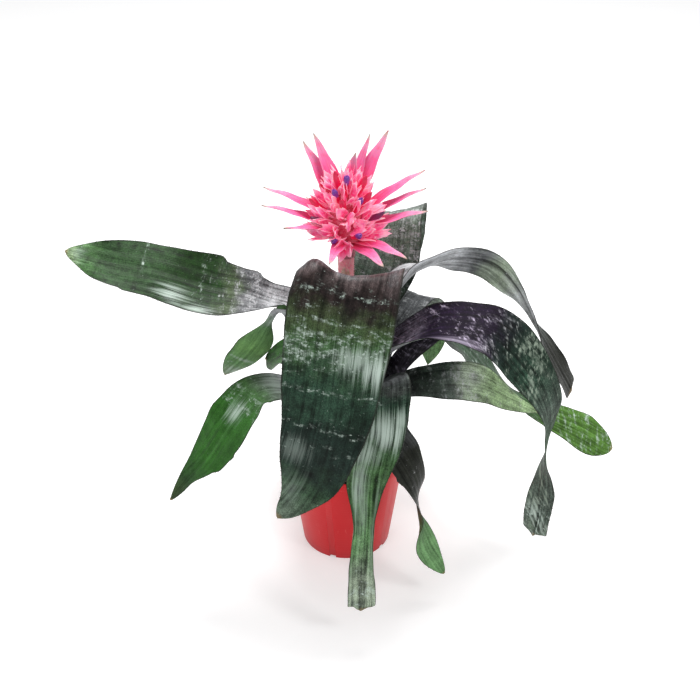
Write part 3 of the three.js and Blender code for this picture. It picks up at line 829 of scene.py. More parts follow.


# Leaf materials

# For each leaf: the tones of its upper face and underside from base to tip; how thick its silver scurf lies,
# the spacing of the scurf's rows in centimetres, which way it gathers (across, unless told) and its tones;
# how plain the lengthwise streaks are; and, where it is unlike the rest, its mottling and its roughness.
# Then soft patches: pale ones of the upper face are painted highlights in the silver tone, partly the haze
# of the scales; pale ones of the underside are hazy silver patches; and dark ones of the upper face are
# painted shade. Each is share across, share along, half width, half length, strength and, where a patch
# slants, its slope.
LEAF_LOOKS = {
    "leaf_right_arch": dict(
        upper=[(0, "ash"), (0.45, "ash"), (0.74, "ash"), (0.8, "dark slate"), (0.88, "umber"),
               (1, "umber")],
        under=[(0, "ash"), (0.4, "ash"), (0.45, "pale ash"), (0.5, "pale ash"), (0.57, "slate"),
               (0.64, "silver green"), (0.74, "pale ash"), (0.8, "dark slate"), (0.86, "umber"),
               (1, "umber")],
        scurf=[(0, 0.3), (0.5, 0.25), (0.65, 0.3), (0.75, 0.1), (0.9, 0.1), (0.97, 0.3), (1, 0.2)],
        silver="ash", pitch=6.0, run="along", streaks=0.9, mottle=0.5),
    "leaf_front_broad": dict(
        upper=[(0, "ash"), (0.44, "slate"), (0.485, "slate"), (0.505, "warm grey"),
               (0.528, "brown black"), (0.553, "brown black"), (0.59, "olive"), (0.63, "moss green"),
               (0.67, "dark green"), (0.72, "deep green"), (0.76, "deep green"), (0.8, "teal black"),
               (0.87, "teal black"), (0.92, "dark green"), (1, "grey green")],
        under=[(0, "ash"), (0.5, "grey green"), (1, "grey green")],
        scurf=[(0, 0.3), (0.5, 0.05), (0.52, 0.3), (0.536, 0.6), (0.552, 0.3), (0.58, 0.45),
               (0.62, 0.72), (0.65, 0.9), (0.68, 0.45), (0.7, 0.2), (0.72, 0.55), (0.735, 0.1),
               (0.775, 0.3), (0.79, 0.6), (0.8, 0.1), (0.83, 0.5), (0.85, 0.05), (1, 0.05)],
        painted_highlights_and_haze=[(0.9, 0.665, 0.26, 0.045, 1.0), (0.7, 0.65, 0.3, 0.035, 0.7),
                (0.2, 0.84, 0.3, 0.04, 0.25), (0.3, 0.93, 0.4, 0.06, 0.15)],
        painted_shades=[(0.85, 0.77, 0.3, 0.07, 0.9), (0.5, 0.87, 0.5, 0.07, 0.6)],
        silver="pale", pitch=1.3, streaks=0.6),
    "leaf_back_tall": dict(
        upper=[(0, "ash"), (0.36, "dark green"), (0.43, "slate green"), (0.52, "grey green"),
               (0.65, "slate"), (1, "deep green")],
        under=[(0, "ash"), (0.4, "slate"), (0.6, "dark green"), (1, "grey green")],
        scurf=[(0, 0.3), (0.42, 0.45), (0.5, 0.9), (0.6, 0.85), (0.75, 0.5), (1, 0.4)],
        painted_shades=[(0.12, 0.42, 0.3, 0.1, 0.8)],
        silver="ash", pitch=1.7, streaks=0.6),
    "leaf_left_long": dict(
        upper=[(0, "ash"), (0.46, "ash"), (0.5, "slate"), (0.535, "slate"), (0.57, "olive"),
               (0.61, "pine green"), (0.7, "pine green"), (0.78, "forest green"), (0.9, "forest green"),
               (0.96, "leaf green"), (1, "pale green")],
        under=[(0, "ash"), (0.5, "ash"), (1, "grey green")],
        scurf=[(0, 0.5), (0.46, 0.7), (0.5, 0.9), (0.54, 0.85), (0.57, 0.45), (0.595, 0.65),
               (0.615, 0.2), (0.645, 0.6), (0.67, 0.05), (0.785, 0.05), (0.8, 0.5), (0.815, 0.05),
               (0.93, 0.2), (1, 0.4)],
        painted_highlights_and_haze=[(0.84, 0.71, 0.22, 0.07, 1.0), (0.93, 0.64, 0.12, 0.06, 0.8),
                (0.5, 0.97, 0.5, 0.03, 0.35)],
        painted_shades=[(0.3, 0.68, 0.4, 0.12, 0.4)],
        silver=[(0, "ash"), (0.58, "ash"), (0.64, "pale"), (1, "pale")],
        pitch=2.0, streaks=0.6),
    "leaf_right_dark": dict(
        upper=[(0, "plum grey"), (0.3, "plum grey"), (0.36, "purple black"), (0.48, "purple black"),
               (0.53, "teal black"), (0.6, "deep green"), (0.68, "slate green"), (0.76, "dark green"),
               (1, "grey green")],
        under=[(0, "ash"), (0.6, "grey green"), (0.76, "slate green"), (0.95, "slate green"),
               (1, "grey green")],
        scurf=[(0, 0.9), (0.3, 0.9), (0.35, 0.4), (0.42, 0.4), (0.46, 0.72), (0.53, 0.7), (0.6, 0.65),
               (0.68, 0.55), (0.76, 0.4), (0.85, 0.5), (0.92, 0.7), (1, 0.6)],
        painted_highlights_and_haze=[(0.06, 0.43, 0.14, 0.07, 0.6)],
        under_sheens=[(0.5, 0.93, 0.7, 0.009, 0.9, -0.08), (0.5, 0.95, 0.7, 0.012, 1.0, -0.08),
                      (0.5, 0.972, 0.7, 0.007, 0.8, -0.08), (0.3, 0.895, 0.4, 0.007, 0.7, -0.09),
                      (0.6, 0.855, 0.6, 0.009, 0.8, -0.08)],
        painted_shades=[(0.3, 0.44, 0.5, 0.07, 0.7), (0.6, 0.51, 0.6, 0.07, 0.6), (0.85, 0.58, 0.4, 0.12, 0.7),
                (0.5, 0.62, 0.03, 0.12, 0.8)],
        silver=[(0, "plum"), (0.46, "plum"), (0.54, "sage"), (0.9, "sage"), (0.94, "pale"), (1, "pale")],
        pitch=7.0, run="slanting", streaks=0.8, rough=0.6),
    "leaf_back_low": dict(
        upper=[(0, "ash"), (0.4, "dark green"), (1, "moss green")],
        under=[(0, "ash"), (1, "grey green")],
        scurf=[(0, 0.4), (0.5, 0.6), (0.7, 0.4), (0.85, 0.6), (1, 0.2)],
        silver="pale", pitch=2.4, streaks=0.5),
    "leaf_front_drape": dict(
        upper=[(0, "ash"), (0.36, "slate"), (0.42, "dark slate"), (0.46, "deep green"),
               (0.5, "dark green"), (0.6, "moss green"), (0.72, "leaf green"), (0.8, "sage"),
               (0.9, "silver green"), (1, "silver green")],
        under=[(0, "ash"), (0.5, "grey green"), (1, "pale green")],
        scurf=[(0, 0.4), (0.36, 0.35), (0.44, 0.4), (0.47, 0.3), (0.6, 0.2), (0.84, 0.2), (0.88, 0.75),
               (0.91, 0.3), (0.94, 0.9), (0.97, 0.5), (1, 0.3)],
        painted_highlights_and_haze=[(0.7, 0.525, 0.5, 0.06, 1.0), (0.85, 0.5, 0.25, 0.04, 0.8), (0.35, 0.58, 0.5, 0.06, 0.7),
                (0.35, 0.68, 0.3, 0.17, 0.7), (0.85, 0.77, 0.18, 0.16, 0.5)],
        painted_shades=[(0.56, 0.8, 0.05, 0.18, 0.8), (0.05, 0.5, 0.3, 0.1, 0.5)],
        silver="pale", pitch=1.4, streaks=0.9),
    "leaf_left_small": dict(
        upper=[(0, "ash"), (0.5, "slate"), (0.66, "moss green"), (1, "leaf green")],
        under=[(0, "ash"), (0.5, "ash"), (0.69, "ash"), (0.75, "sage"), (0.85, "bright sage"),
               (0.93, "sage"), (1, "silver green")],
        scurf=[(0, 0.3), (0.7, 0.4), (0.76, 0.15), (0.88, 0.2), (0.95, 0.5), (1, 0.4)],
        under_sheens=[(0.5, 0.72, 0.8, 0.03, 0.5), (0.5, 0.91, 0.8, 0.01, 0.6),
                      (0.4, 0.97, 0.7, 0.03, 0.6)],
        silver="pale", pitch=0.9, streaks=0.3, mottle=0.35),
    "leaf_back_right": dict(
        upper=[(0, "ash"), (0.4, "slate"), (0.6, "slate"), (1, "grey green")],
        under=[(0, "ash"), (0.6, "grey green"), (0.85, "leaf green"), (1, "sage")],
        scurf=[(0, 0.4), (0.5, 0.6), (0.65, 0.65), (0.8, 0.2), (1, 0.1)],
        silver="ash", pitch=1.8, streaks=0.5),
    "leaf_left_low": dict(
        upper=[(0, "ash"), (0.4, "ash"), (0.47, "grey green"), (0.53, "leaf green"),
               (0.6, "bottle green"), (0.8, "bottle green"), (0.9, "forest green"), (1, "olive")],
        under=[(0, "ash"), (1, "grey green")],
        scurf=[(0, 0.4), (0.46, 0.5), (0.5, 0.4), (0.54, 0.6), (0.6, 0.65), (0.63, 0.2), (0.68, 0.02),
               (1, 0.02)],
        painted_highlights_and_haze=[(0.45, 0.62, 0.25, 0.06, 0.75), (0.4, 0.45, 0.6, 0.06, 0.5)],
        painted_shades=[(0.85, 0.75, 0.25, 0.2, 0.4)],
        silver="pale", pitch=1.6, streaks=0.3, mottle=0.55),
    "leaf_right_green_tip": dict(
        upper=[(0, "plum grey"), (0.36, "purple black"), (0.4, "dark slate"), (0.48, "dark green"),
               (0.6, "dark green"), (0.75, "moss green"), (0.82, "meadow"), (1, "meadow")],
        under=[(0, "ash"), (0.5, "grey green"), (1, "lime green")],
        scurf=[(0, 0.7), (0.38, 0.7), (0.46, 0.45), (0.6, 0.5), (0.7, 0.4), (0.82, 0.6), (1, 0.6)],
        silver=[(0, "plum"), (0.4, "plum"), (0.5, "pale"), (1, "pale")],
        pitch=0.7, run="lines", streaks=0.7, mottle=0.6),
    "leaf_back_left": dict(
        upper=[(0, "bottle green"), (0.6, "bottle green"), (1, "pine green")],
        under=[(0, "ash"), (0.6, "bottle green"), (1, "pine green")],
        scurf=[(0, 0.3), (0.6, 0.1), (1, 0.0)],
        silver="pale", pitch=2.0, streaks=0.5),
    "leaf_right_low": dict(
        upper=[(0, "ash"), (0.35, "umber"), (0.43, "dark slate"), (0.48, "slate green"),
               (0.58, "slate green"), (0.64, "silver green"), (0.78, "pale green"), (1, "pale green")],
        under=[(0, "ash"), (1, "grey green")],
        scurf=[(0, 0.5), (0.4, 0.3), (0.45, 0.55), (0.56, 0.55), (0.61, 0.8), (0.66, 0.75), (0.73, 0.45),
               (1, 0.3)],
        painted_highlights_and_haze=[(0.6, 0.67, 0.5, 0.07, 0.25)],
        painted_shades=[(0.2, 0.5, 0.4, 0.1, 0.4)],
        silver="ash", pitch=1.5, streaks=0.5),
    "leaf_right_twisted": dict(
        upper=[(0, "ash"), (0.36, "slate"), (0.44, "umber"), (0.66, "umber"), (0.76, "leaf green"),
               (0.84, "sage"), (1, "sage")],
        under=[(0, "ash"), (0.4, "dark slate"), (0.5, "umber"), (0.66, "umber"), (0.76, "leaf green"),
               (0.84, "sage"), (1, "sage")],
        scurf=[(0, 0.4), (0.4, 0.25), (0.6, 0.2), (0.8, 0.2), (1, 0.2)],
        silver="ash", pitch=1.6, streaks=0.6, mottle=0.5),
}
# How the scurf gathers: the cluster's stretch, the speck's stretch and the slant in degrees
SCURF_RUNS = {
    "across": ((0.75, 1.6, 1), (1, 1.2, 1), 0),
    "along": ((2.2, 0.7, 1), (1.6, 0.6, 1), 0),
    "lines": ((0.7, 1.2, 1), (0.09, 1.4, 1), 14),
    "slanting": ((0.7, 1.3, 1), (0.18, 1.1, 1), 42),
}
SILVER_TONES = {
    "ash": tone(182, 184, 186),
    "pale": tone(188, 204, 194),
    "plum": tone(172, 162, 182),
    "sage": tone(150, 164, 148),
}


def spot_mask(n, spots, side, along, streak):
    """The strongest of a leaf's soft spots at each point"""
    most = 0.0
    for across, place_along, half_width, half_length, amount, *slope in spots:
        spot = n.group(SOFT_SPOT, Side=side, Along=along, Centre_Side=across, Centre_Along=place_along,
                       Half_Width=half_width, Half_Length=half_length, Slope=sum(slope), Streak=streak)
        most = n.math("MAXIMUM", most, spot["Mask"] * amount)
    return most


def leaf_flesh(n, look, stops, place, along, grain):
    """The leaf's own tones, streaked along it, clouded and mottled"""
    colour = n.ramp(along, [(where, TONES[label]) for where, label in stops])
    mottle = look.get("mottle", 1.0)
    streaks = (grain["Streak"] - 0.5) * (4.5 * look["streaks"])
    clouds = (n.cloud(place, 1.1, 4) - 0.5) * (2.4 * mottle)
    blotches = n.span(grain["Mottle"], 0.36, 0.64, 1 - 0.4 * mottle, 1 + 0.5 * mottle)
    shade = (1.0 + streaks + clouds) * blotches
    return n.scaled(colour, n.math("MINIMUM", n.math("MAXIMUM", shade, 0.25), 2.4))


def leaf_scurf(n, look, place, strength):
    """The silver scales on a leaf, as a mask of specks and a haze"""
    clusters, specks, slant = SCURF_RUNS[look.get("run", "across")]
    slanted = n.add("VectorRotate", {"Vector": place, "Angle": math.radians(slant)})[0]
    return n.group(SILVER_SCURF, Place=slanted, Shape=clusters, Speck_Shape=specks, Pitch=look["pitch"],
                   Strength=strength)


def silver_tone(n, silver, along):
    """One tone, or the tones from base to tip"""
    if isinstance(silver, str):
        return SILVER_TONES[silver]
    return n.ramp(along, [(where, SILVER_TONES[label]) for where, label in silver])


def leaf_skin(name, look, stops, seed, rough, painted_highlights_and_haze=(), painted_shades=()):
    """One face of a leaf: its flesh with painted shade, the silver on it with painted highlights, its dark
    margin and its dry end
    """
    n = Skin(name)
    place, side, along = n.strip_place(seed)
    wander = (n.cloud(place, 0.6, 3) - 0.5) * 0.09
    grain = n.group(LEAF_GRAIN, Place=place)
    fibres = (grain["Streak"] + grain["Height"]) * 0.5
    colour = leaf_flesh(n, look, stops, place, along + wander, grain)
    # Painted shade: soft dark patches pull the flesh towards a darker copy of itself
    colour = n.mix(spot_mask(n, painted_shades, side, along, fibres), colour, n.scaled(colour, 0.3))
    scurf = leaf_scurf(n, look, place, n.level(along + wander * 0.3, look["scurf"]))
    silver = silver_tone(n, look["silver"], along)
    veil = scurf["Haze"] * n.span(fibres, 0.44, 0.58, 0.05, 0.6)
    # Painted highlight: soft pale patches of the upper face, partly the haze of the scales, join the scurf's
    # haze in the silver tone
    haze_and_painted_highlight = n.math("MAXIMUM", veil, spot_mask(n, painted_highlights_and_haze, side, along, fibres))
    colour = n.mix(haze_and_painted_highlight, colour, silver)
    colour = n.mix(scurf["Mask"] * 0.85, colour, silver)
    colour = n.mix(n.edge(side, 0.06, 0.85), colour, TONES["umber"])
    dry = n.span(along + wander * 0.15, 0.99, 1.0)
    colour = n.mix(dry * 0.7, colour, TONES["straw"])
    rough = n.math("ADD", rough + scurf["Mask"] * 0.3, grain["Streak"] * 0.12, clamp=True)
    relief = grain["Height"] * 0.8 + scurf["Mask"] * 0.2
    return n.finish(colour, rough, n.ridges(relief, 0.6, 0.0007), mirror=0.1)


def leaf_materials(leaf, layer):
    look = LEAF_LOOKS[leaf["name"]]
    short = leaf["name"].removeprefix("leaf_")
    seed = 3.0 * layer
    under_seed = seed + 1.5
    rough = look.get("rough", LEAF_ROUGHNESS)
    painted_highlights_and_haze, under_sheens, painted_shades = (look.get(key, ()) for key in ("painted_highlights_and_haze", "under_sheens", "painted_shades"))
    upper = leaf_skin(short + " upper face", look, look["upper"], seed, rough, painted_highlights_and_haze, painted_shades)
    under = leaf_skin(short + " underside", look, look["under"], under_seed, UNDERSIDE_ROUGHNESS,
                      under_sheens)
    return [upper, under]


# Leaf shapes


def crown_height(radius):
    return CROWN_SHOULDER + (CROWN_RADIUS - radius) * CROWN_SLOPE


def leaf_rows(leaf, layer):
    """The sheath wrapped round the plant's axis in its own layer, then the blade"""
    radius = FIRST_LAYER_RADIUS + layer * LAYER_PITCH
    base = leaf.get("base", BASE_WIDTH)
    wrap = min(BASE_MOST_WRAP, math.degrees(base / radius))
    flatness = radius * (1 - math.cos(math.radians(wrap) / LEAF_CELLS_IN_SOLID / 2))
    foot = crown_height(radius - LEAF_THICKNESS / 2 - flatness) + SOIL_GAP
    rows = []
    for height, opened in leaf["sheath"]:
        out = radius + opened
        wrap = min(BASE_MOST_WRAP, math.degrees(base / out))
        point = compass(leaf["turn"], out, foot + height)
        rows.append([*point, out * math.radians(wrap), 0, wrap, leaf["turn"]])
    return rows + [[*row, leaf["heading"]] for row in leaf["blade"]]


def leaf_lift(leaf, draws):
    """How far each point of a blade rises off its plain channel: waved margins, a midrib groove and pleats"""
    phase = draws() * 2 * math.pi
    start = leaf["sheath"][-1][0]
    extra = draws(0, 6)

    def lift(along, q):
        opened = smoothstep(along, start + 30, start + 120)
        side_phase = phase + np.where(q > 0, 1.3, 0)
        wave = EDGE_WAVE_HEIGHT * np.sin(2 * math.pi * along / EDGE_WAVE_LENGTH + side_phase) * q * q
        ruffle_phase = along / 6.5 + extra + 2 * np.sin(along / 31) + np.where(q > 0, 2.1, 0)
        ruffle = RUFFLE_HEIGHT * np.sin(ruffle_phase) * q ** 4
        groove = -GROOVE_DEPTH * np.exp(-(q / 0.07) ** 2)
        pleats = PLEAT_HEIGHT * np.sin(q * 17 + extra + along / 90) * (1 - q * q)
        rise = opened * (wave + ruffle + groove + pleats)
        for place, reach, q_place, q_reach, height in leaf.get("swells", []):
            rise = rise + height * np.exp(-((along - place) / reach) ** 2 - ((q - q_place) / q_reach) ** 2)
        return rise

    return lift


def leaf_trim(leaf, draws):
    """How far each point of a blade moves out along its width: uneven margins, and the leaf's own nicks"""
    phases = [draws(0, 2 * math.pi) for _ in range(4)]
    start = leaf["sheath"][-1][0]

    def trim(along, q):
        side = np.sign(q)
        move = MARGIN_WANDER * np.sin(along / 11 + phases[0] + side * phases[1])
        move = move + MARGIN_FRAY * np.sin(along / 4.3 + phases[2] + side * phases[3])
        for place, at_side, depth, reach in leaf.get("nicks", []):
            past = (along - place) / reach
            shape = smoothstep(past, -0.2, 0) * (1 - smoothstep(past, 0, 1))
            move = move - np.where(side == at_side, depth * shape, 0)
        return side * move * smoothstep(np.abs(q), 0.55, 1) * smoothstep(along, start, start + 60)

    return trim


def make_leaf(leaf, layer):
    draws = Draws(100 + layer)
    lift = leaf_lift(leaf, draws)
    trim = leaf_trim(leaf, draws)
    ragged = [draws(0, RAGGED_END) for _ in range(9)] if leaf.get("ragged") else None
    ribbon = Ribbon(leaf_rows(leaf, layer), LEAF_STEP, LEAF_CELLS_ACROSS, leaf["tip"], fewest=10, lift=lift,
                    trim=trim, ragged=ragged)
    pile = Pile()
    pile.add_ribbon(ribbon, LEAF_THICKNESS, LEAF_EDGE_THICKNESS, (0, 1))
    pile.add_teeth(ribbon, leaf["sheath"][-1][0], ribbon.length - TOOTHLESS_END, TOOTH_PITCH, TOOTH_LENGTH)
    blade = pile.piece(leaf["name"].replace("leaf_", "blade_"), leaf_materials(leaf, layer))
    settle(blade, "leaf", leaf["name"])


# Flower head


def core_radius(height):
    return float(np.interp(height, [z for _, z in HEAD_CORE], [r for r, _ in HEAD_CORE]))


def long_bract_ribbon(x, y, z, root, width):
    turn = math.degrees(math.atan2(y, x))
    start = compass(turn, core_radius(root) - BRACT_ROOT_DEPTH, root)
    end = np.array([x, y, z])
    rise = 0.04 * np.linalg.norm(end - start)
    rows = []
    form = [(0, 0, 0.9, 70), (0.3, 1, 1, 55), (0.65, 1, 0.6, 40), (1, 0, 0.1, 20)]
    for part, lift, share, channel in form:
        point = start + (end - start) * part + np.array([0, 0, rise * lift])
        rows.append([*point, width * share, 0, channel, turn])

    def lift(along, q):
        ruffle = 0.5 * np.sin(along / 4.5 + x) * q ** 4 * smoothstep(along, 10, 30)
        return ruffle - 0.5 * np.exp(-(q / 0.12) ** 2)

    return Ribbon(rows, 1.6, 12, 6, tip_width=0.9, lift=lift)


def make_long_bracts():
    pile = Pile()
    for bract in LONG_BRACTS:
        ribbon = long_bract_ribbon(*bract)
        pile.add_ribbon(ribbon, BRACT_THICKNESS, BRACT_EDGE_THICKNESS)
        pile.add_teeth(ribbon, 18, ribbon.length - 10, 2.6, 0.7)
    pile.add_turned([(0, HEAD_BASE), (HEAD_COLLAR_RADIUS - 0.5, HEAD_BASE), (HEAD_COLLAR_RADIUS, 352),
                     (HEAD_COLLAR_RADIUS + 1, 356), *HEAD_CORE, (0, HEAD_TOP)], 40, 1)
    settle(pile.piece("bracts_long", [bract_material(), axis_material()]), "bract", "flower_head")


def outward_matrix(turn, steep, root):
    """Stands local +Z along a direction that leaves the core at a compass angle and a steepness"""
    lean = Matrix.Rotation(math.radians(90 - steep), 4, "Y")
    spin = Matrix.Rotation(math.radians(turn), 4, "Z")
    return Matrix.Translation(Vector(root)) @ spin @ lean


def spikelet_ribbons(index, draws):
    """The overlapping floral bracts of one spikelet, and two fine bristles among them"""
    share = index / SPIKELET_COUNT
    height = SPIKELET_FOOT + SPIKELET_SPAN * share
    turn = index * GOLDEN_TURN + draws(-8, 8)
    steep = 6 + 70 * share + draws(-7, 7)
    matrix = outward_matrix(turn, steep, compass(turn, core_radius(height) - BRACT_ROOT_DEPTH, height))
    size = 1.12 - 0.2 * share
    for k in range(SPIKELET_BRACTS):
        facing = 180 * (k % 2) + draws(-30, 30) + 40 * (k // 2)
        rise = 2.8 * (k // 2) * size
        flare = draws(0, 5)
        length = draws(17, 25)
        form = [(0, 1.5, 7, 90), (0.35, 4, 10, 80), (0.7, 5 + flare / 2, 6.5, 60),
                (1, 6.5 + flare, 0.5, 40)]
        rows = []
        for part, out, width, channel in form:
            point = compass(facing, out * size, rise + part * length * size)
            rows.append([*point, width * size, 0, channel, facing + 180])
        yield Ribbon(rows, 1.5, 8, 5, tip_width=0.5, fewest=10).carry(matrix)
    for _ in range(2):
        facing = draws(0, 360)
        rows = [[*compass(facing, 1 + part * 3, (14 + part * 15) * size), 1.1 - part, 0, 90, facing]
                for part in (0, 0.5, 1)]
        yield Ribbon(rows, 2, 2, 4, tip_width=0.25, fewest=5).carry(matrix)


def add_hair(pile, root, way, length, width=0.16):
    """A fine tapered hair of three sides"""
    side = unit(np.cross(way, [0.3, 0.2, 0.9])) * width
    other = unit(np.cross(way, side)) * width
    points = [root - side / 2 - other / 3, root + side / 2 - other / 3, root + other * 2 / 3,
              root + way * length]
    pile.add_plain(points, [(0, 1, 3), (1, 2, 3), (2, 0, 3), (0, 2, 1)], (0.5, 0.9))


def add_wool(pile, ribbon, count, draws, length):
    """Loose hairs that stand off both faces and the margins of a bract"""
    rows, columns = ribbon.points.shape[:2]
    for _ in range(count):
        i, j = int(draws(1, rows - 1)), int(draws(0, columns))
        out = ribbon.normals[i, j] * (-1 if draws() < 0.8 else 1)
        lean = ribbon.tangent[i] * draws(0.4, 1.6)
        way = unit(out + lean + np.array([draws(-0.5, 0.5) for _ in range(3)]))
        add_hair(pile, ribbon.points[i, j] + out * 0.2, way, length * draws(0.5, 1.2))


def make_spikelets():
    pile = Pile()
    draws = Draws(7)
    for index in range(SPIKELET_COUNT):
        for ribbon in spikelet_ribbons(index, draws):
            pile.add_ribbon(ribbon, FLORAL_THICKNESS, FLORAL_EDGE_THICKNESS)
            add_wool(pile, ribbon, FLORAL_HAIRS, draws, FLORAL_HAIR_LENGTH)
    settle(pile.piece("bracts_floral", [spikelet_material()]), "bract", "flower_head")


def make_flowers():
    """Crimson tubes and dark buds; a flower that has opened shows a blunt violet tip of folded petals"""
    tubes = Pile()
    petals = Pile()
    for turn, root, length, stage in FLOWERS:
        steep = 20 + (root - 366) * 1.1
        matrix = outward_matrix(turn, steep, compass(turn, core_radius(root) - 3, root))
        reach = length + (4 if stage == "open" else 8)
        if stage == "open":
            profile = [(0, 0), (1.9, 0), (2.3, reach * 0.5), (2.1, reach * 0.85), (1.7, reach * 0.9),
                       (0, reach * 0.9)]
            bloom = [(0, reach * 0.7), (1.7, reach * 0.7), (2.6, reach * 0.95), (2.9, reach + 3),
                     (2.2, reach + 5.5), (1.2, reach + 6.3), (0.7, reach + 4.4), (0, reach + 4.2)]
            petals.add_turned(bloom, 24, matrix=matrix, lobes=3, lobe_depth=0.13)
        else:
            profile = [(0, 0), (2, 0), (3.1, reach * 0.45), (3.4, reach * 0.75), (2.4, reach * 0.95),
                       (1, reach + 1.5), (0, reach + 2)]
        tubes.add_turned(profile, 18, int(stage == "dark"), matrix, lobes=3, lobe_depth=0.1)
    calyx = calyx_material("crimson calyx", (0, 226, 50, 104), (0.5, 216, 4, 66), (1, 180, 2, 58))
    bud = calyx_material("dark bud", (0, 190, 24, 80), (0.4, 120, 14, 66), (1, 66, 16, 66))
    settle(tubes.piece("flower_tubes", [calyx, bud]), "bract", "flower_head")
    settle(petals.piece("flower_petals", [petal_material()]), "bract", "flower_head")


def wool_roughness(n, wool):
    return n.span(wool["Mask"], 0.0, 1.0, 0.5, 0.85)


def bract_material():
    n = Skin("pink bract")
    place, side, along = n.strip_place(0.0)
    colour = n.tints(along, (0, 196, 20, 66), (0.16, 214, 22, 80), (0.34, 216, 44, 110),
                     (0.6, 206, 86, 140), (0.88, 198, 130, 160), (0.96, 172, 152, 138), (1, 104, 104, 84))
    veins = n.cloud(n.stretched(place, (16, 0.5, 1)), 1.0, 3, 0.6)
    colour = n.mix(n.span(veins, 0.4, 0.7, 0.0, 0.3), colour, tone(218, 162, 188))
    blush = n.cloud(place, 0.8, 2)
    colour = n.mix(n.span(blush, 0.45, 0.7, 0.0, 0.4), colour, tone(226, 36, 92))
    colour = n.mix(n.edge(side, 0.12, 0.3), colour, tone(228, 170, 192))
    return n.finish(colour, n.span(veins, 0.3, 0.7, 0.4, 0.55), n.ridges(veins, 0.5, 0.0005),
                    FLESH_MIRROR, BRACT_PAINTED_GLOW, FLESH_WEIGHT)


def axis_material():
    n = Skin("woolly flower axis")
    place, _, along = n.strip_place(6.0)
    colour = n.tints(along, (0, 176, 96, 106), (0.3, 190, 70, 98), (0.5, 206, 40, 88), (1, 214, 50, 100))
    wool = n.group(WOOL, Place=place, Cover=0.5)
    colour = n.mix(wool["Mask"] * 0.6, colour, tone(240, 180, 188))
    return n.finish(colour, wool_roughness(n, wool), n.ridges(wool["Height"], 0.7, 0.0008))


def spikelet_material():
    n = Skin("woolly floral bract")
    place, side, along = n.strip_place(4.0)
    colour = n.tints(along, (0, 200, 6, 84), (0.3, 236, 42, 132), (0.7, 250, 130, 180),
                     (0.93, 254, 196, 212), (1, 206, 140, 140))
    clumps = n.cloud(n.position(), 75.0, 2)
    colour = n.mix(n.span(clumps, 0.5, 0.6, 0.0, 0.6), colour, tone(228, 8, 106))
    colour = n.mix(n.span(clumps, 0.48, 0.4, 0.0, 0.6), colour, tone(255, 200, 210))
    patches = n.cloud(n.stretched(place, (1.5, 1, 1)), 2.0, 2)
    colour = n.mix(n.span(patches, 0.42, 0.62, 0.0, 0.35), colour, tone(255, 160, 200))
    wool = n.group(WOOL, Place=place, Cover=0.3)
    colour = n.mix(wool["Mask"] * 0.4, colour, tone(255, 214, 230))
    colour = n.mix(n.edge(side, 0.2, 0.6), colour, tone(255, 206, 222))
    return n.finish(colour, wool_roughness(n, wool), n.ridges(wool["Height"], 0.6, 0.0006),
                    FLESH_MIRROR, FLORAL_PAINTED_GLOW, FLESH_WEIGHT)


def calyx_material(name, *tints):
    n = Skin(name)
    place, _, along = n.strip_place(8.0)
    streaks = n.cloud(n.stretched(place, (20, 1, 1)), 1.0, 3)
    colour = n.mix(n.span(streaks, 0.45, 0.75, 0.0, 0.2), n.tints(along, *tints), tone(244, 90, 130))
    return n.finish(colour, n.span(streaks, 0.3, 0.7, 0.3, 0.45), n.ridges(streaks, 0.4, 0.0003),
                    painted_glow=FLORAL_PAINTED_GLOW)


def petal_material():
    n = Skin("violet petal")
    place, _, along = n.strip_place(12.0)
    streaks = n.cloud(n.stretched(place, (18, 1.5, 1)), 1.0, 3)
    colour = n.tints(along, (0, 160, 30, 110), (0.45, 136, 44, 150), (0.75, 96, 36, 140),
                     (1, 180, 110, 200))
    colour = n.mix(n.span(streaks, 0.5, 0.75, 0.0, 0.5), colour, tone(186, 130, 220))
    return n.finish(colour, n.span(streaks, 0.3, 0.7, 0.35, 0.5), n.ridges(streaks, 0.4, 0.0003))


# Stem


def stem_material():
    n = Skin("woolly pink stalk")
    place, _, along = n.strip_place(2.0)
    colour = n.tints(along, (0, 120, 104, 70), (0.4, 130, 120, 84), (0.55, 206, 110, 120),
                     (0.85, 232, 132, 146), (1, 224, 100, 126))
    patches = n.cloud(n.stretched(place, (1, 0.6, 1)), 0.9, 3)
    colour = n.mix(n.span(patches, 0.5, 0.64, 0.0, 0.8), colour, tone(150, 132, 92))
    wool = n.group(WOOL, Place=place, Cover=0.6)
    colour = n.mix(wool["Mask"] * 0.6, colour, tone(226, 206, 198))
    return n.finish(colour, wool_roughness(n, wool), n.ridges(wool["Height"], 0.7, 0.0008), painted_glow=BRACT_PAINTED_GLOW)


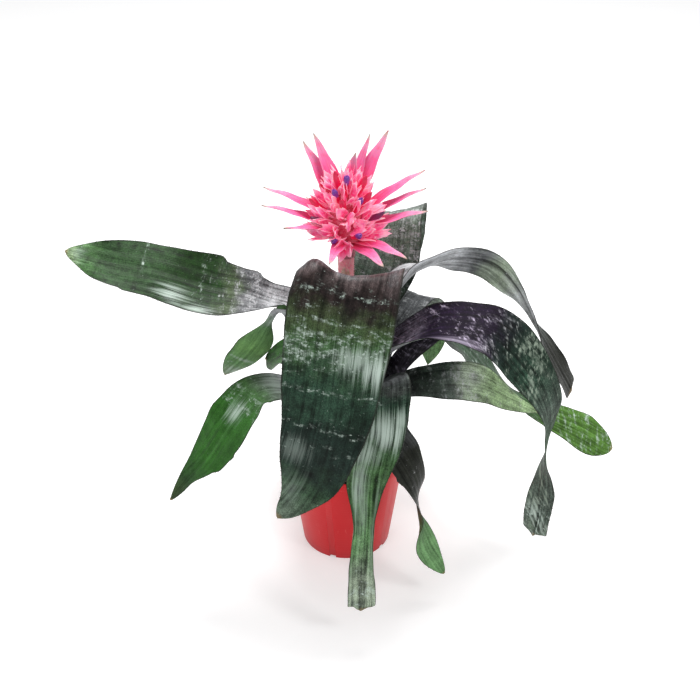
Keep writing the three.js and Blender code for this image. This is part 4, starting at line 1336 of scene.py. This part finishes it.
def make_stem():
    pile = Pile()
    draws = Draws(23)
    neck = crown_height(CROWN_TOP_RADIUS) + 6
    stalk = [(STALK_RADIUS - 0.2 + 0.25 * math.sin(z / 9), z) for z in np.arange(neck, STALK_TOP - 1, 4)]
    pile.add_turned([(0, CROWN_FOOT), (CROWN_RADIUS, CROWN_FOOT), (CROWN_RADIUS, CROWN_SHOULDER),
                     (CROWN_TOP_RADIUS, neck - 6), *stalk, (STALK_RADIUS, STALK_TOP), (0, STALK_TOP)], 40)
    for turn, foot, length in STALK_BRACTS:
        rows = []
        for out, part, wrap in ((7.6, 0, 130), (8.1, 0.4, 120), (8.4, 0.8, 100), (9.6, 1, 60)):
            point = compass(turn, out, foot + part * length)
            rows.append([*point, out * math.radians(wrap), 0, wrap, turn])
        ribbon = Ribbon(rows, 2, 10, length * 0.8)
        pile.add_ribbon(ribbon, 1.6, 0.6)
        pile.add_teeth(ribbon, 6, length - 6, 3, 0.6)
        add_wool(pile, ribbon, STALK_BRACT_HAIRS, draws, 2)
    for _ in range(STALK_HAIRS):
        turn, height = draws(0, 360), draws(215, STALK_TOP - 6)
        way = unit(compass(turn, 1, draws(0.2, 1.2)) + np.array([draws(-0.4, 0.4) for _ in range(3)]))
        add_hair(pile, compass(turn, STALK_RADIUS - 0.3, height), way, draws(1, 2.4))
    settle(pile.piece("stalk", [stem_material()]), "stem", "stem")


# Pot and soil


def pot_inside(height):
    return POT_BASE_RADIUS + (POT_NECK_RADIUS - POT_BASE_RADIUS) / POT_NECK_HEIGHT * height - POT_WALL


def arc(centre, radius, first, last, count=5):
    """Points of a rounded corner in (radius, height)"""
    turns = np.radians(np.linspace(first, last, count))
    return [(centre[0] + radius * math.cos(t), centre[1] + radius * math.sin(t)) for t in turns]


def pot_profile():
    lip = POT_WALL / 2
    step = POT_NECK_HEIGHT
    return [
        (0, 0.4), (POT_BASE_RADIUS - 5, 0.4), (POT_BASE_RADIUS - 4, 0),
        *arc((POT_BASE_RADIUS - 1, 1), 1, -90, -8),
        (POT_NECK_RADIUS - 0.1, step - 1), (POT_NECK_RADIUS, step),
        *arc((POT_RIM_FOOT_RADIUS - 0.6, step + 1.4), 0.6, -80, 0),
        *arc((POT_RIM_RADIUS - lip, POT_HEIGHT - lip), lip, 0, 180, 9),
        (POT_RIM_FOOT_RADIUS - POT_WALL, step + 2), (pot_inside(step), step + 1),
        (pot_inside(POT_FLOOR), POT_FLOOR), (0, POT_FLOOR),
    ]


def pot_material():
    n = Skin("red moulded plastic")
    place = n.position()
    height = n.add("SeparateXYZ", {0: place})[2] / (POT_HEIGHT * MM)
    colour = n.tints(height, (0, 184, 30, 38), (0.12, 194, 28, 34), (1, 202, 30, 36))
    cloudy = n.cloud(place, 24.0, 3)
    colour = n.mix(n.span(cloudy, 0.4, 0.7, 0.0, 0.25), colour, tone(206, 50, 54))
    scuffs = n.cloud(n.stretched(place, (260, 260, 34)), 1.0, 4, 0.7)
    scratch = n.span(scuffs, 0.62, 0.76)
    colour = n.mix(scratch * 0.3, colour, tone(236, 150, 146))
    dirt = n.span(height, 0.1, 0.0) * n.span(n.cloud(place, 160.0, 3), 0.48, 0.66)
    colour = n.mix(dirt * 0.5, colour, tone(96, 60, 48))
    rings = n.math("SINE", height * 190.0)
    relief = scuffs * 0.4 + rings * 0.12
    return n.finish(colour, 0.4 + scratch * 0.25, n.ridges(relief, 0.35, 0.0003), mirror=0.2)


def cut_notches(pot):
    """Cuts the drain notches out of the foot of the pot"""
    cutter = Pile()
    depth, width, height = DRAIN_SIZE
    corners = box_corners(depth, width, 2 * height)
    for turn in DRAIN_TURNS:
        matrix = Matrix.Rotation(math.radians(turn), 4, "Z") @ Matrix.Translation((POT_BASE_RADIUS, 0, 0))
        cutter.add_plain([matrix @ Vector(corner) for corner in corners], BOX_FACES)
    notches = cutter.piece("notches", [])
    modifier = pot.modifiers.new("drain notches", "BOOLEAN")
    modifier.object = notches
    modifier.solver = "EXACT"
    shaped = bpy.data.meshes.new_from_object(pot.evaluated_get(bpy.context.evaluated_depsgraph_get()))
    pot.modifiers.clear()
    pot.data = shaped
    bpy.data.objects.remove(notches)


def make_pot():
    pile = Pile()
    pile.add_turned(pot_profile(), ROUND_SIDES)
    pot = pile.piece("nursery_pot", [pot_material()], 40)
    cut_notches(pot)
    settle(pot, "pot", "pot")


def soil_material():
    n = Skin("peat and bark mix")
    place = n.position()
    crumbs = n.cloud(place, 420.0, 4, 0.7)
    patches = n.cloud(place, 90.0, 3)
    colour = n.tints(crumbs, (0.3, 28, 18, 14), (0.5, 58, 40, 30), (0.62, 92, 66, 46), (0.75, 134, 104, 76))
    colour = n.mix(n.span(patches, 0.4, 0.65, 0.0, 0.6), colour, tone(36, 25, 20))
    return n.finish(colour, n.span(crumbs, 0.3, 0.7, 0.8, 0.98), n.ridges(crumbs, 1.0, 0.0015))


def soil_lump(x, y):
    """Height of the crumbly top above its mean, in millimetres"""
    coarse = noise.noise(Vector((x / 9, y / 9, 3)))
    fine = noise.noise(Vector((x / 2.6, y / 2.6, 8)))
    return 1.7 * coarse + 0.9 * fine


def make_soil():
    hole = CROWN_RADIUS + SOIL_GAP + 0.1
    wall = pot_inside(SOIL_TOP) - SOIL_GAP - 0.4
    shoulder = SOIL_TOP - 4
    rings = [(pot_inside(POT_FLOOR) - SOIL_GAP, SOIL_FOOT), (pot_inside(shoulder) - SOIL_GAP, shoulder)]
    rings += [(radius, SOIL_TOP - 0.6) for radius in np.linspace(wall, hole, 16)]
    rings += [(hole, CROWN_FOOT - SOIL_GAP)]
    pile = Pile()
    pile.add_turned([(0, SOIL_FOOT), *rings, (0, CROWN_FOOT - SOIL_GAP)], ROUND_SIDES)
    for k, (x, y, z) in enumerate(pile.points):
        if SOIL_TOP - 2 < z < SOIL_TOP + 2:
            pile.points[k] = (x, y, z + soil_lump(x, y))
    draws = Draws(41)
    for _ in range(BARK_CHIPS):
        add_bark_chip(pile, draws, hole, wall)
    settle(pile.piece("potting_mix", [soil_material()], 30), "soil", "soil")


def add_bark_chip(pile, draws, hole, wall):
    """A small rough flake that lies half sunk in the mix"""
    turn, out = draws(0, 360), draws(hole + 2, wall - 2)
    x, y, _ = compass(turn, out)
    corners = box_corners(draws(1.4, 4.2), draws(0.8, 2.2), draws(0.5, 1.5))
    turned = Matrix.Rotation(draws(0, 6.28), 4, "Z") @ Matrix.Rotation(draws(-0.5, 0.5), 4, "X")
    place = Matrix.Translation((x, y, SOIL_TOP - 0.4 + soil_lump(x, y))) @ turned
    points = [place @ Vector([part * draws(0.7, 1.1) for part in corner]) for corner in corners]
    pile.add_plain(points, BOX_FACES)


# Studio

FLOOR_SIZE = 12
FLOOR_GLOW = 0.43
SKY_STRENGTH = 0.45
WHITE = (1, 1, 1, 1)
FLOOR_COLOUR = (0.7, 0.7, 0.705, 1)
CAMERA_PLACE = (0.004, -1.111, 0.932)
CAMERA_DROP = 32
CAMERA_LENS = 66
CAMERA_SENSOR = 36

# Round soft lights: place, the point that it faces, width and power
LIGHTS = {
    "overhead softbox": ((0.1, 0.6, 1.8), (0, 0, 0.2), 1.0, 40),
    "front softbox": ((-1.2, -1.6, 1.3), (0, 0, 0.2), 0.8, 8),
    "right softbox": ((1.1, -0.9, 1.5), (0, 0, 0.25), 0.4, 8),
}


def make_floor():
    mesh = bpy.data.meshes.new("floor")
    half = FLOOR_SIZE / 2
    corners = [(-half, -half, 0), (half, -half, 0), (half, half, 0), (-half, half, 0)]
    mesh.from_pydata(corners, [], [(0, 1, 2, 3)])
    floor = new_object("floor", mesh)
    n = Skin("white studio floor")
    n.put(n.surface["Base Color"], FLOOR_COLOUR)
    n.put(n.surface["Roughness"], 0.9)
    n.put(n.surface["Emission Color"], WHITE)
    n.put(n.surface["Emission Strength"], FLOOR_GLOW)
    mesh.materials.append(n.material)


def make_light(name, place, aim, size, power):
    light = bpy.data.lights.new(name, "AREA")
    light.shape = "DISK"
    light.size = size
    light.energy = power
    lamp = new_object(name, light)
    lamp.location = place
    lamp.rotation_euler = (Vector(aim) - Vector(place)).to_track_quat("-Z", "Y").to_euler()


def make_camera():
    camera = bpy.data.cameras.new("camera")
    camera.lens = CAMERA_LENS
    camera.sensor_width = CAMERA_SENSOR
    holder = new_object("camera", camera)
    holder.location = CAMERA_PLACE
    holder.rotation_euler = (math.radians(90 - CAMERA_DROP), 0, 0)
    bpy.context.scene.camera = holder


def make_studio():
    make_floor()
    world = bpy.data.worlds.new("studio")
    world.use_nodes = True
    sky = world.node_tree.nodes["Background"].inputs
    sky["Color"].default_value = WHITE
    sky["Strength"].default_value = SKY_STRENGTH
    bpy.context.scene.world = world
    bpy.context.scene.view_settings.view_transform = "Standard"
    for name, light in LIGHTS.items():
        make_light(name, *light)
    make_camera()


def main():
    make_studio()
    make_pot()
    make_soil()
    make_stem()
    for layer, leaf in enumerate(LEAVES):
        make_leaf(leaf, layer)
    make_long_bracts()
    make_spikelets()
    make_flowers()


main()
